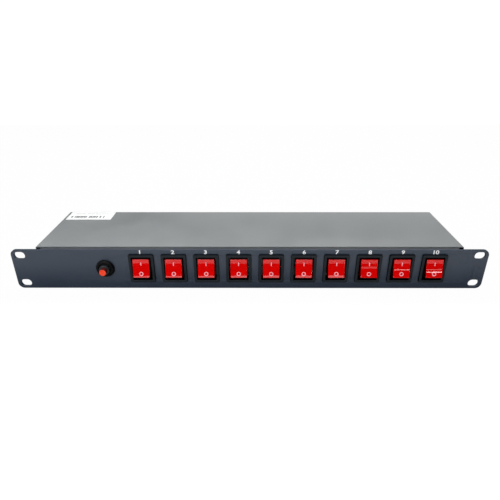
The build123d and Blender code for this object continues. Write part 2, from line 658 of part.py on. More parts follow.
def neutral_bus():
    """Two bars: one for the lamps' returns behind the switches, one for the outlets and the inlet."""
    end = NEUTRAL_LINK_X + 3
    lamp_y = (TERMINAL_END_Y, TERMINAL_END_Y + BAR_THICK)
    lamp_bar = block((SWITCH_X[0] - 4, end), lamp_y, around(SWITCH_Z + TERMINAL_Z, LAMP_BAR_HEIGHT))
    rear_y = (OUTLET_TAB_END_Y - BAR_THICK, OUTLET_TAB_END_Y)
    rear_bar = block((INLET_X + INLET_PIN_X - 1.5, end), rear_y, REAR_BAR_Z)
    return [lamp_bar, rear_bar]


def earth_bus():
    """The earth bar, with an upstand to the inlet's pin and a foot bolted to the tray's floor."""
    y = (OUTLET_TAB_END_Y - BAR_THICK, OUTLET_TAB_END_Y)
    floor = BODY_BOTTOM_Z + SHEET
    foot_x = around(EARTH_FOOT_X, EARTH_FOOT_WIDTH)
    bar = block((foot_x[0], SWITCH_X[-1] + 3), y, EARTH_BAR_Z)
    bar += block(around(INLET_X, 4.0), y, (EARTH_BAR_Z[0], EARTH_UPSTAND_TOP_Z))
    bar += block(foot_x, y, (floor, EARTH_BAR_Z[1]))
    bar += block(foot_x, (EARTH_FOOT_Y - 5, y[1]), (floor, floor + BAR_THICK))
    bar -= Pos(EARTH_FOOT_X, EARTH_FOOT_Y, floor) * Cylinder(M3_R + M3_SPARE, 4 * BAR_THICK)
    return bar


def tan_degrees(angle):
    """The tangent of an angle in degrees."""
    ray = Vector(1, 0, 0).rotate(Axis.Z, angle)
    return ray.Y / ray.X


def lead(points):
    """One insulated wire: straight runs joined by tangent arcs, as wide as the shorter run allows."""
    radii = []
    for a, b, c in zip(points, points[1:], points[2:]):
        first = Vector(*b) - Vector(*a)
        second = Vector(*c) - Vector(*b)
        shorter = min(first.length, second.length)
        radii.append(LEAD_BEND * shorter / tan_degrees(first.get_angle(second) / 2))
    path = FilletPolyline(*points, radius=radii)
    start = Plane(origin=points[0], z_dir=Vector(*points[1]) - Vector(*points[0]))
    return sweep(start * Circle(LEAD_R), path=path)


def leads():
    """Inlet to breaker, breaker to live bar, each switch to its outlet, and the neutral link."""
    low = SWITCH_Z - TERMINAL_Z
    line_tab_z = sum(LINE_TAB_Z) / 2
    bar_rear = TERMINAL_END_Y + BAR_THICK
    wires = []
    for x in SWITCH_X:
        back = x - BLADE_X
        wires.append(lead([(x, TERMINAL_END_Y, low), (x, 39, low), (back, 61, line_tab_z),
                           (back, OUTLET_TAB_END_Y, line_tab_z)]))
    line_x = INLET_X - INLET_PIN_X
    tab_low = SWITCH_Z - BREAKER_TAB_Z
    wires.append(lead([(line_x, INLET_LINE_END_Y, -INLET_PIN_Z), (line_x, 62, -INLET_PIN_Z),
                       (BREAKER_X, 50, tab_low), (BREAKER_X, BREAKER_TAB_END_Y, tab_low)]))
    bar_x = SWITCH_X[0] - 4
    tab_high = SWITCH_Z + BREAKER_TAB_Z
    wires.append(lead([(BREAKER_X, BREAKER_TAB_END_Y, tab_high), (BREAKER_X, 46, tab_high),
                       (bar_x, 46, SWITCH_Z), (bar_x, bar_rear, SWITCH_Z)]))
    lamp_z = SWITCH_Z + TERMINAL_Z
    wires.append(lead([(NEUTRAL_LINK_X, OUTLET_TAB_END_Y - BAR_THICK, NEUTRAL_LINK_Z),
                       (NEUTRAL_LINK_X, 60, NEUTRAL_LINK_Z), (NEUTRAL_LINK_X, 41, lamp_z),
                       (NEUTRAL_LINK_X, bar_rear, lamp_z)]))
    return wires


def save(name, shape):
    """Writes one node's STEP file; a list is a group of separate solids."""
    if isinstance(shape, list):
        shape = Compound(children=shape)
    export_step(shape, os.path.join("parts", name + ".step"))


os.makedirs("parts", exist_ok=True)
save("front_panel", front_panel())
save("panel_fixings", panel_fixings())
save("chassis_tray", chassis_tray())
save("top_cover", top_cover())
save("cover_screws", cover_screws())
save("rating_label", rating_label())
save("switch_terminals", switch_terminals())
save("switch_lamps", switch_lamps())
save("breaker_housing", breaker_housing())
save("breaker_terminals", breaker_terminals())
save("breaker_ring", breaker_ring())
save("breaker_button", breaker_button())
save("outlet_contacts", outlet_contacts())
save("inlet_housing", inlet_housing())
save("inlet_pins", inlet_pins())
save("rear_screws", rear_screws())
save("live_bus", live_bus())
save("neutral_bus", neutral_bus())
save("earth_bus", earth_bus())
save("leads", leads())

housing_shape = switch_housing()
outlet_shape = outlet()
rocker_shape = Rot(ROCKER_REST_TILT, 0, 0) * rocker()
lever_shape = Rot(LEVER_REST_TILT, 0, 0) * contact_lever()
for number, centre_x in enumerate(SWITCH_X, start=1):
    save(f"switch_housing_{number}", Pos(centre_x, 0, SWITCH_Z) * housing_shape)
    save(f"rocker_{number}", Pos(centre_x, ROCKER_PIVOT_Y, SWITCH_Z) * rocker_shape)
    save(f"contact_lever_{number}", Pos(centre_x, LEVER_PIVOT_Y, SWITCH_Z) * lever_shape)
    save(f"outlet_{number}", Pos(centre_x, 0, 0) * outlet_shape)
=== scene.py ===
"""Looks for a rack power strip: a slotted front panel with ten lit rocker switches and a reset breaker, a
folded cover over a folded tray, outlets and a mains inlet at the rear.

Lengths are metres. X runs to the right seen from the front, Y to the rear and Z up. The origin is the centre
of the rack slots on the rear face of the front panel. Sizes that the frame holds are read from it.
"""

import json
import logging
import math
from dataclasses import dataclass, field
from enum import Enum

import bmesh
import bpy
import numpy as np
from mathutils import Matrix, Vector


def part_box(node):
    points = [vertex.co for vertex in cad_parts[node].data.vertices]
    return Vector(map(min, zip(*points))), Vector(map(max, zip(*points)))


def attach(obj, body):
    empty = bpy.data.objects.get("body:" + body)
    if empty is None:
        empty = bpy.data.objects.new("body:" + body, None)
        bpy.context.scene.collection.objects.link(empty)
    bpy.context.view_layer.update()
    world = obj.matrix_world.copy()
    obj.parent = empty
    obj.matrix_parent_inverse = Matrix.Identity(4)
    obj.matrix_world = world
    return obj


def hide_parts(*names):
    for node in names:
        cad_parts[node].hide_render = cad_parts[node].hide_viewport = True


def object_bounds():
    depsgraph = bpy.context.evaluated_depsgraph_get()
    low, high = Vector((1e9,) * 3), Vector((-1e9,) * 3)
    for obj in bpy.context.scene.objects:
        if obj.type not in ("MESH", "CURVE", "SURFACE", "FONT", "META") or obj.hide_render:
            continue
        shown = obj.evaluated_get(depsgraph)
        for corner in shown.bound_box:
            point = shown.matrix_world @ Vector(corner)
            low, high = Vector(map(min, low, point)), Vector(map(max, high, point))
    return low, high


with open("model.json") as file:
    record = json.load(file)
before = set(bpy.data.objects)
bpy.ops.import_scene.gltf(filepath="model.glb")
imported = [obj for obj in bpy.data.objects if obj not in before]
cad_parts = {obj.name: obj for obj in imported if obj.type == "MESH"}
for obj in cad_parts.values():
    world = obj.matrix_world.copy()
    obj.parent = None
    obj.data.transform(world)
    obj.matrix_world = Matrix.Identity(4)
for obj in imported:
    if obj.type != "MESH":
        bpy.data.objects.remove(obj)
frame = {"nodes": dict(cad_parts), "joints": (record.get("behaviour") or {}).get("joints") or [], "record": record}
CAD_BOX = [list(corner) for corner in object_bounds()]

LOG = logging.getLogger("rack_power_strip")
MM = 0.001
SWITCH_COUNT = 10
CHASSIS = "chassis"
LENS_TILT = math.radians(13.0)

Socket = bpy.types.NodeSocket
Colour = tuple[float, float, float]


# ------------------------------------------------------------------------------------------ surfaces


def quads_between(rings: int, points: int, closed_rings: bool = False) -> np.ndarray:
    """Faces of a sheet made of rings of points, each ring closed on itself.

    Point j of ring i has the number i * points + j, and a face joins points j and j + 1 of rings i and i + 1,
    with both numbers taken round their ring.

    Args:
        rings: How many rings there are.
        points: How many points each ring has.
        closed_rings: Whether the last ring joins the first one.

    Returns:
        An array of four corner numbers for each face.
    """
    i = np.arange(rings if closed_rings else rings - 1)[:, None]
    j = np.arange(points)[None, :]
    here, right = i * points + j, i * points + (j + 1) % points
    above = ((i + 1) % rings) * points
    return np.stack([here, right, above + (j + 1) % points, above + j], axis=-1).reshape(-1, 4)


def signed_volume(vertices: np.ndarray, faces: list[list[int]]) -> float:
    """The volume inside a closed surface, negative where its faces point inwards.

    Each face is a fan of triangles from its first corner, and each triangle adds a sixth of the product of
    its first corner with the cross product of the other two.

    Args:
        vertices: Points, one row each.
        faces: Corner numbers of each face.

    Returns:
        The volume.
    """
    total = 0.0
    by_size: dict[int, list[list[int]]] = {}
    for face in faces:
        by_size.setdefault(len(face), []).append(face)
    for size, group in by_size.items():
        corners = vertices[np.array(group)]
        for k in range(1, size - 1):
            cross = np.cross(corners[:, k], corners[:, k + 1])
            total += float((corners[:, 0] * cross).sum()) / 6.0
    return total


def make_piece(name: str, vertices: np.ndarray, faces: list[list[int]],
               sharp: float = 40.0) -> bpy.types.Object:
    """Puts a worked-out closed surface into an object at the origin, with its faces outwards.

    Args:
        name: The piece's name.
        vertices: Points in metres, one row each.
        faces: Corner numbers of each face.
        sharp: The angle in degrees past which an edge stays sharp under smooth shading.

    Returns:
        The new object.
    """
    if signed_volume(vertices, faces) < 0:
        faces = [face[::-1] for face in faces]
    mesh = bpy.data.meshes.new(name)
    mesh.from_pydata(vertices.tolist(), [], faces)
    mesh.polygons.foreach_set("use_smooth", np.ones(len(faces), dtype=bool))
    mesh.set_sharp_from_angle(angle=math.radians(sharp))
    mesh.update()
    piece = bpy.data.objects.new(name, mesh)
    bpy.context.scene.collection.objects.link(piece)
    return piece


def loft(name: str, rings: np.ndarray, sharp: float = 40.0) -> bpy.types.Object:
    """A closed shell through rings of equal length, with a flat cap on the first and on the last ring.

    Args:
        name: The piece's name.
        rings: An array of rings by points by three coordinates.
        sharp: The angle in degrees past which an edge stays sharp.

    Returns:
        The new object.
    """
    count, points = rings.shape[:2]
    faces = quads_between(count, points).tolist()
    first = list(range(points))
    faces.append(first[::-1])
    faces.append([(count - 1) * points + j for j in first])
    return make_piece(name, rings.reshape(-1, 3), faces, sharp)


def rounded_rectangle(half_width: np.ndarray, half_height: np.ndarray, radius: np.ndarray,
                      per_corner: int) -> np.ndarray:
    """Outlines of rectangles with round corners, one for each entry of the three arrays.

    A corner's centre lies inside by its radius on both sides, and the outline adds the radius times the
    cosine and the sine of an angle that runs through a quarter turn for each corner.

    Args:
        half_width: Half of each rectangle's width.
        half_height: Half of each rectangle's height.
        radius: Each rectangle's corner radius.
        per_corner: Points on each corner.

    Returns:
        An array of rectangles by points by two coordinates.
    """
    quarter = np.linspace(0.0, math.pi / 2, per_corner)
    turn = (quarter[None, :] + np.arange(4)[:, None] * math.pi / 2).ravel()
    side_x = np.repeat([1.0, -1.0, -1.0, 1.0], per_corner)
    side_y = np.repeat([1.0, 1.0, -1.0, -1.0], per_corner)
    x = side_x * (half_width - radius)[:, None] + np.cos(turn) * radius[:, None]
    y = side_y * (half_height - radius)[:, None] + np.sin(turn) * radius[:, None]
    return np.stack([x, y], axis=-1)


def filleted(corners: np.ndarray, radii: np.ndarray, per_corner: int = 6) -> np.ndarray:
    """A closed outline whose corners are replaced by arcs.

    At each corner the arc touches both sides at the radius times the tangent of half the turn from the
    corner. Its points lie at the radius from a centre on the line that halves the corner, spread evenly over
    the turn.

    Args:
        corners: The outline's corners, counter-clockwise or clockwise, one row each.
        radii: The radius at each corner.
        per_corner: Points on each arc.

    Returns:
        The outline's points, one row each.
    """
    back = np.roll(corners, 1, axis=0) - corners
    ahead = np.roll(corners, -1, axis=0) - corners
    back /= np.linalg.norm(back, axis=1, keepdims=True)
    ahead /= np.linalg.norm(ahead, axis=1, keepdims=True)
    opening = np.arccos(np.clip((back * ahead).sum(axis=1), -1.0, 1.0))
    halving = back + ahead
    halving /= np.linalg.norm(halving, axis=1, keepdims=True)
    centre = corners + halving * (radii / np.sin(opening / 2))[:, None]
    start = corners + back * (radii / np.tan(opening / 2))[:, None] - centre
    way = np.sign(back[:, 0] * ahead[:, 1] - back[:, 1] * ahead[:, 0])
    sweep = -way * (math.pi - opening)
    angle = sweep[:, None] * np.linspace(0.0, 1.0, per_corner)[None, :]
    x = start[:, :1] * np.cos(angle) - start[:, 1:] * np.sin(angle)
    y = start[:, :1] * np.sin(angle) + start[:, 1:] * np.cos(angle)
    return (np.stack([x, y], axis=-1) + centre[:, None, :]).reshape(-1, 2)


def inward_normals(outline: np.ndarray) -> np.ndarray:
    """Unit normals of a closed outline that point to its inside.

    The direction at a point runs from the point before to the point after, and a quarter turn of it gives the
    normal; the turn's way comes from the sign of the outline's area.
    """
    along = np.roll(outline, -1, axis=0) - np.roll(outline, 1, axis=0)
    along /= np.maximum(np.linalg.norm(along, axis=1, keepdims=True), 1e-12)
    after = np.roll(outline, -1, axis=0)
    area = float((outline[:, 0] * after[:, 1] - outline[:, 1] * after[:, 0]).sum())
    way = 1.0 if area > 0 else -1.0
    return way * np.stack([-along[:, 1], along[:, 0]], axis=-1)


def revolve(name: str, profile: list[tuple[float, float]], centre: Vector, segments: int = 64,
            ripple: tuple[int, float] = (0, 0.0)) -> bpy.types.Object:
    """A turned piece about a line along Y.

    A point at radius r and depth y goes to the centre plus r times the cosine along X, y along Y, and r
    times the sine along Z. A ripple takes the sixth power of a cosine's positive part off the rim, which
    makes flutes.

    Args:
        name: The piece's name.
        profile: Radius and Y of each ring, in order, in metres.
        centre: A point on the axis, whose Y is not used.
        segments: Points round the axis.
        ripple: How many flutes there are, and their depth in metres at the largest radius.

    Returns:
        The new object.
    """
    rows = np.array(profile)
    angle = np.linspace(0.0, 2 * math.pi, segments, endpoint=False)
    flute = np.maximum(np.cos(angle * ripple[0]), 0.0) ** 6 * ripple[1] if ripple[0] else np.zeros(segments)
    at_rim = (rows[:, 0] > rows[:, 0].max() * 0.9)[:, None]
    radius = rows[:, :1] - flute[None, :] * at_rim
    x = centre.x + radius * np.cos(angle)
    z = centre.z + radius * np.sin(angle)
    y = np.broadcast_to(rows[:, 1:], x.shape)
    return loft(name, np.stack([x, y, z], axis=-1))


def tube(name: str, line: np.ndarray, radius: float, sides: int = 10) -> bpy.types.Object:
    """A round wire along a line of points.

    The direction at a point is that of its two neighbours. The first side direction is the cross product of
    that with a fixed one, the second the cross product of both, and the wire adds the radius times the cosine
    along one and times the sine along the other.

    Args:
        name: The piece's name.
        line: Centre points, one row each, in metres.
        radius: The wire's radius.
        sides: Points round the wire.

    Returns:
        The new object.
    """
    along = np.gradient(line, axis=0)
    along /= np.linalg.norm(along, axis=1, keepdims=True)
    side = np.cross(along, np.array([0.13, 1.0, 0.07]))
    side /= np.linalg.norm(side, axis=1, keepdims=True)
    other = np.cross(along, side)
    angle = np.linspace(0.0, 2 * math.pi, sides, endpoint=False)[None, :, None]
    rings = line[:, None, :] + radius * (np.cos(angle) * side[:, None, :] + np.sin(angle) * other[:, None, :])
    return loft(name, rings, sharp=60.0)


def node_centre(name: str) -> Vector:
    """The middle of a CAD node's box."""
    low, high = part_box(name)
    return (low + high) / 2


def settle(piece: bpy.types.Object, body: str, material: bpy.types.Material,
           replaces: tuple[str, ...] = ()) -> bpy.types.Object:
    """Gives a finished piece its material and its body, and reports it.

    Args:
        piece: The piece.
        body: The CAD body that carries it.
        material: Its finish.
        replaces: CAD nodes that the piece stands for.

    Returns:
        The same piece.
    """
    piece.data.materials.clear()
    piece.data.materials.append(material)
    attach(piece, body)
    if replaces:
        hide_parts(*replaces)
    LOG.info("piece %s on %s, %d faces", piece.name, body, len(piece.data.polygons))
    return piece


# ------------------------------------------------------------------------------------------ node groups


class Wiring:
    """Adds nodes to one shader tree and joins their sockets."""

    def __init__(self, tree: bpy.types.NodeTree) -> None:
        """Keeps the tree that every node goes into."""
        self.tree = tree

    def node(self, kind: str, **settings: object) -> bpy.types.Node:
        """A new node of one kind, with its properties set."""
        made = self.tree.nodes.new(kind)
        for name, value in settings.items():
            setattr(made, name, value)
        return made

    def join(self, source: Socket, target: Socket) -> None:
        """A link between two sockets."""
        self.tree.links.new(source, target)

    def feed(self, target: Socket, value: Socket | float | tuple[float, ...]) -> None:
        """Links a socket into another, or sets a plain value on it."""
        if isinstance(value, bpy.types.NodeSocket):
            self.join(value, target)
        elif isinstance(value, tuple) and len(value) == 3 and target.type == "RGBA":
            target.default_value = (*value, 1.0)
        else:
            target.default_value = value

    def math(self, operation: str, first: Socket | float, second: Socket | float = 0.0,
             clamp: bool = False) -> Socket:
        """One step of arithmetic."""
        made = self.node("ShaderNodeMath", operation=operation, use_clamp=clamp)
        self.feed(made.inputs[0], first)
        self.feed(made.inputs[1], second)
        return made.outputs[0]

    def spread(self, value: Socket, low: Socket | float, high: Socket | float, to_low: float = 0.0,
               to_high: float = 1.0) -> Socket:
        """Maps a value smoothly from one range to another and keeps it there.

        Args:
            value: What is mapped.
            low: The value that gives to_low.
            high: The value that gives to_high.
            to_low: The result at low.
            to_high: The result at high.

        Returns:
            The mapped value's socket.
        """
        made = self.node("ShaderNodeMapRange", interpolation_type="SMOOTHSTEP")
        for socket, entry in zip(made.inputs, (value, low, high, to_low, to_high)):
            self.feed(socket, entry)
        return made.outputs[0]

    def mix(self, share: Socket | float, first: Socket | Colour, second: Socket | Colour) -> Socket:
        """A mix of two colours."""
        made = self.node("ShaderNodeMix", data_type="RGBA")
        self.feed(made.inputs[0], share)
        self.feed(made.inputs[6], first)
        self.feed(made.inputs[7], second)
        return made.outputs[2]

    def noise(self, place: Socket, scale: Socket | float, detail: float = 2.0,
              roughness: float = 0.5) -> Socket:
        """Smooth noise from 0 to 1 with so many features per metre."""
        made = self.node("ShaderNodeTexNoise")
        self.join(place, made.inputs["Vector"])
        self.feed(made.inputs["Scale"], scale)
        made.inputs["Detail"].default_value = detail
        made.inputs["Roughness"].default_value = roughness
        return made.outputs["Fac"]

    def object_place(self) -> Socket:
        """The shaded point in the piece's own coordinates."""
        return self.node("ShaderNodeTexCoord").outputs["Object"]

    def facing(self, direction: Colour) -> Socket:
        """The cosine between the surface's normal and a direction, both in the piece's own axes."""
        dot = self.node("ShaderNodeVectorMath", operation="DOT_PRODUCT")
        self.join(self.node("ShaderNodeTexCoord").outputs["Normal"], dot.inputs[0])
        dot.inputs[1].default_value = direction
        return dot.outputs["Value"]


class EffectGroup:
    """A shader node group with named inputs and outputs, built once."""

    name = "effect"
    inputs: tuple[tuple[str, float], ...] = ()
    outputs: tuple[str, ...] = ()

    def __init__(self) -> None:
        """Makes the group and its sockets, and lets the subclass wire it."""
        self.tree = bpy.data.node_groups.new(self.name, "ShaderNodeTree")
        for name, value in self.inputs:
            socket = self.tree.interface.new_socket(name, in_out="INPUT", socket_type="NodeSocketFloat")
            socket.default_value = value
        for name in self.outputs:
            self.tree.interface.new_socket(name, in_out="OUTPUT", socket_type="NodeSocketFloat")
        wires = Wiring(self.tree)
        start = wires.node("NodeGroupInput")
        end = wires.node("NodeGroupOutput")
        self.wire(wires, start.outputs, end.inputs)

    def wire(self, wires: Wiring, given: bpy.types.NodeOutputs, wanted: bpy.types.NodeInputs) -> None:
        """Fills the group; each effect has its own."""
        raise NotImplementedError

    def place(self, wires: Wiring, **values: float) -> bpy.types.Node:
        """Puts the group into a material with that material's own values.

        Args:
            wires: The material's wiring.
            **values: Input values by name, with an underscore for each space.

        Returns:
            The group's node.
        """
        made = wires.node("ShaderNodeGroup", node_tree=self.tree)
        for name, value in values.items():
            made.inputs[name.replace("_", " ")].default_value = value
        return made


class PaintGrain(EffectGroup):
    """The pebbled skin of baked powder paint: soft cells, finer grains and sparse specks."""

    name = "paint_grain"
    inputs = (("Cells per metre", 900.0), ("Speck share", 0.1))
    outputs = ("Height", "Tone", "Specks")

    def wire(self, wires: Wiring, given: bpy.types.NodeOutputs, wanted: bpy.types.NodeInputs) -> None:
        """Height is two sizes of noise added; tone is slow noise; specks are the peaks of fast noise."""
        place = wires.object_place()
        cells = given["Cells per metre"]
        coarse = wires.noise(place, cells, detail=1.0)
        fine = wires.noise(place, wires.math("MULTIPLY", cells, 3.1), detail=2.0)
        wires.join(wires.math("ADD", coarse, wires.math("MULTIPLY", fine, 0.45)), wanted["Height"])
        wires.join(wires.noise(place, 34.0, detail=4.0, roughness=0.6), wanted["Tone"])
        grains = wires.noise(place, wires.math("MULTIPLY", cells, 2.2), detail=0.0)
        edge = wires.math("SUBTRACT", 0.86, given["Speck share"])
        wires.join(wires.spread(grains, edge, wires.math("ADD", edge, 0.06)), wanted["Specks"])


class MouldGrain(EffectGroup):
    """The fine spark-eroded skin of moulded plastic, with faint flow streaks."""

    name = "mould_grain"
    inputs = (("Cells per metre", 3500.0),)
    outputs = ("Height", "Tone")

    def wire(self, wires: Wiring, given: bpy.types.NodeOutputs, wanted: bpy.types.NodeInputs) -> None:
        """Height is pointed cells plus noise; tone is slow noise stretched along X."""
        place = wires.object_place()
        cells = wires.node("ShaderNodeTexVoronoi")
        wires.join(place, cells.inputs["Vector"])
        wires.join(given["Cells per metre"], cells.inputs["Scale"])
        rough = wires.noise(place, wires.math("MULTIPLY", given["Cells per metre"], 0.5), detail=3.0)
        wires.join(wires.math("ADD", cells.outputs["Distance"], rough), wanted["Height"])
        stretch = wires.node("ShaderNodeMapping")
        stretch.inputs["Scale"].default_value = (0.4, 1.0, 1.0)
        wires.join(place, stretch.inputs["Vector"])
        wires.join(wires.noise(stretch.outputs[0], 160.0, detail=3.0), wanted["Tone"])


class EdgeWear(EffectGroup):
    """Rubbed edges: a mask where the surface bends sharply, broken up by noise."""

    name = "edge_wear"
    inputs = (("Radius", 0.0004), ("Amount", 0.5))
    outputs = ("Mask",)

    def wire(self, wires: Wiring, given: bpy.types.NodeOutputs, wanted: bpy.types.NodeInputs) -> None:
        """One less the agreement of the rounded and the true normal, times noise and the amount."""
        rounded = wires.node("ShaderNodeBevel", samples=4)
        wires.join(given["Radius"], rounded.inputs["Radius"])
        true = wires.node("ShaderNodeNewGeometry")
        agree = wires.node("ShaderNodeVectorMath", operation="DOT_PRODUCT")
        wires.join(rounded.outputs["Normal"], agree.inputs[0])
        wires.join(true.outputs["Normal"], agree.inputs[1])
        bend = wires.spread(wires.math("SUBTRACT", 1.0, agree.outputs["Value"]), 0.02, 0.22)
        patches = wires.noise(wires.object_place(), 420.0, detail=5.0, roughness=0.65)
        worn = wires.math("MULTIPLY", bend, wires.spread(patches, 0.38, 0.66))
        wires.join(wires.math("MULTIPLY", worn, given["Amount"], clamp=True), wanted["Mask"])


class SettledDust(EffectGroup):
    """A thin film of dust that lies on whatever faces up."""

    name = "settled_dust"
    inputs = (("Amount", 0.2),)
    outputs = ("Mask",)

    def wire(self, wires: Wiring, given: bpy.types.NodeOutputs, wanted: bpy.types.NodeInputs) -> None:
        """The upward part of the normal times patchy noise and fine grains."""
        place = wires.object_place()
        parts = wires.node("ShaderNodeSeparateXYZ")
        wires.join(wires.node("ShaderNodeNewGeometry").outputs["Normal"], parts.inputs[0])
        up = wires.spread(parts.outputs["Z"], 0.25, 0.95)
        patches = wires.spread(wires.noise(place, 22.0, detail=5.0, roughness=0.6), 0.35, 0.75, 0.25, 1.0)
        grains = wires.spread(wires.noise(place, 2600.0, detail=1.0), 0.42, 0.7, 0.3, 1.0)
        film = wires.math("MULTIPLY", wires.math("MULTIPLY", up, patches), grains)
        wires.join(wires.math("MULTIPLY", film, given["Amount"], clamp=True), wanted["Mask"])


class BrushedGrain(EffectGroup):
    """Fine drawing lines in metal, along Y, with dull stains."""

    name = "brushed_grain"
    inputs = (("Lines per metre", 4000.0),)
    outputs = ("Height", "Tone")

    def wire(self, wires: Wiring, given: bpy.types.NodeOutputs, wanted: bpy.types.NodeInputs) -> None:
        """Height is noise drawn out along Y; tone is slow noise."""
        place = wires.object_place()
        stretch = wires.node("ShaderNodeMapping")
        stretch.inputs["Scale"].default_value = (1.0, 0.04, 1.0)
        wires.join(place, stretch.inputs["Vector"])
        wires.join(wires.noise(stretch.outputs[0], given["Lines per metre"], detail=2.0), wanted["Height"])
        wires.join(wires.noise(place, 260.0, detail=4.0, roughness=0.6), wanted["Tone"])


@dataclass
class Effects:
    """The effects that materials share."""

    paint_grain: PaintGrain = field(default_factory=PaintGrain)
    mould_grain: MouldGrain = field(default_factory=MouldGrain)
    edge_wear: EdgeWear = field(default_factory=EdgeWear)
    dust: SettledDust = field(default_factory=SettledDust)
    brushed: BrushedGrain = field(default_factory=BrushedGrain)


# ------------------------------------------------------------------------------------------ finishes


class Finish(Enum):
    """Every finish on the object."""

    PANEL = "panel_paint"
    COVER = "cover_paint"
    TRAY = "tray_paint"
    BEZEL = "bezel_plastic"
    BREAKER = "black_plastic"
    NUT = "nut_plastic"
    OUTLET = "outlet_plastic"
    LENS = "red_lens"
    BUTTON = "reset_button"
    ZINC = "zinc_steel"
    BLACK_STEEL = "black_steel"
    BRASS = "brass_contacts"
    COPPER = "copper_bar"
    GLASS = "lamp_glass"
    WIRE = "wire_insulation"
    LABEL = "label_paper"
    INK = "white_ink"
    LENS_INK = "lens_ink"


DUST_COLOUR: Colour = (0.42, 0.40, 0.37)


def blank_material(name: str) -> tuple[bpy.types.Material, Wiring, bpy.types.Node]:
    """A new material with one Principled shader, its wiring and that shader."""
    material = bpy.data.materials.new(name)
    material.use_nodes = True
    wires = Wiring(material.node_tree)
    shader = next(n for n in material.node_tree.nodes if n.type == "BSDF_PRINCIPLED")
    return material, wires, shader


def add_bump(wires: Wiring, shader: bpy.types.Node, height: Socket, strength: float, distance: float) -> None:
    """Raises the surface by a height, for the light only.

    Args:
        wires: The material's wiring.
        shader: The shader whose normal is set.
        height: The height from 0 to about 1.
        strength: How much of it counts.
        distance: What a height of 1 is, in metres.
    """
    bump = wires.node("ShaderNodeBump")
    bump.inputs["Strength"].default_value = strength
    bump.inputs["Distance"].default_value = distance
    wires.join(height, bump.inputs["Height"])
    wires.join(bump.outputs["Normal"], shader.inputs["Normal"])


@dataclass(frozen=True)
class PowderCoat:
    """Baked powder paint on steel."""

    colour: Colour
    speck_colour: Colour
    roughness: float = 0.45
    specular: float = 0.5
    cells: float = 1100.0
    depth: float = 0.00005
    wear: float = 0.35
    dust: float = 0.1
    steel: Colour = (0.42, 0.43, 0.44)

    def build(self, name: str, effects: Effects) -> bpy.types.Material:
        """The paint as a material."""
        material, wires, shader = blank_material(name)
        grain = effects.paint_grain.place(wires, Cells_per_metre=self.cells)
        tone = wires.spread(grain.outputs["Tone"], 0.3, 0.7, 0.0, 0.35)
        lighter = tuple(min(1.0, c * 1.22) for c in self.colour)
        paint = wires.mix(tone, self.colour, lighter)
        paint = wires.mix(wires.math("MULTIPLY", grain.outputs["Specks"], 0.35), paint, self.speck_colour)
        wear = effects.edge_wear.place(wires, Amount=self.wear)
        paint = wires.mix(wear.outputs["Mask"], paint, self.steel)
        dust = effects.dust.place(wires, Amount=self.dust)
        paint = wires.mix(dust.outputs["Mask"], paint, DUST_COLOUR)
        wires.join(paint, shader.inputs["Base Color"])
        rough = wires.spread(grain.outputs["Tone"], 0.25, 0.75, self.roughness - 0.05, self.roughness + 0.06)
        wires.join(wires.math("ADD", rough, wires.math("MULTIPLY", dust.outputs["Mask"], 0.4), clamp=True),
                   shader.inputs["Roughness"])
        wires.join(wires.math("MULTIPLY", wear.outputs["Mask"], 0.8), shader.inputs["Metallic"])
        shader.inputs["Specular IOR Level"].default_value = self.specular
        add_bump(wires, shader, grain.outputs["Height"], 0.35, self.depth)
        return material


@dataclass(frozen=True)
class MouldedPlastic:
    """Opaque moulded plastic with a fine eroded skin, and painted shade in another colour on the faces that turn
    from the front, where one is given.
    """

    colour: Colour
    roughness: float = 0.5
    specular: float = 0.3
    cells: float = 3500.0
    depth: float = 0.00002
    wear: float = 0.25
    dust: float = 0.12
    worn_colour: Colour = (0.06, 0.06, 0.062)
    # The side colour, where one is given, is painted shade on the faces that do not face the front.
    painted_side_shade: Colour | None = None

    def build(self, name: str, effects: Effects) -> bpy.types.Material:
        """The plastic as a material."""
        material, wires, shader = blank_material(name)
        grain = effects.mould_grain.place(wires, Cells_per_metre=self.cells)
        tone = wires.spread(grain.outputs["Tone"], 0.3, 0.7, 0.0, 0.4)
        lighter = tuple(min(1.0, c * 1.35 + 0.0015) for c in self.colour)
        body = wires.mix(tone, self.colour, lighter)
        wear = effects.edge_wear.place(wires, Radius=0.0003, Amount=self.wear)
        body = wires.mix(wear.outputs["Mask"], body, self.worn_colour)
        dust = effects.dust.place(wires, Amount=self.dust)
        body = wires.mix(dust.outputs["Mask"], body, DUST_COLOUR)
        # Painted shade: faces that turn from the front take the darker side colour.
        if self.painted_side_shade is not None:
            painted_shade_share = wires.spread(wires.facing((0.0, -1.0, 0.0)), 0.9, 0.6)
            body = wires.mix(painted_shade_share, body, self.painted_side_shade)
        wires.join(body, shader.inputs["Base Color"])
        rough = wires.spread(grain.outputs["Tone"], 0.25, 0.75, self.roughness - 0.06, self.roughness + 0.06)
        rough = wires.math("SUBTRACT", rough, wires.math("MULTIPLY", wear.outputs["Mask"], 0.25))
        wires.join(wires.math("ADD", rough, wires.math("MULTIPLY", dust.outputs["Mask"], 0.4), clamp=True),
                   shader.inputs["Roughness"])
        shader.inputs["Specular IOR Level"].default_value = self.specular
        add_bump(wires, shader, grain.outputs["Height"], 0.3, self.depth)
        return material


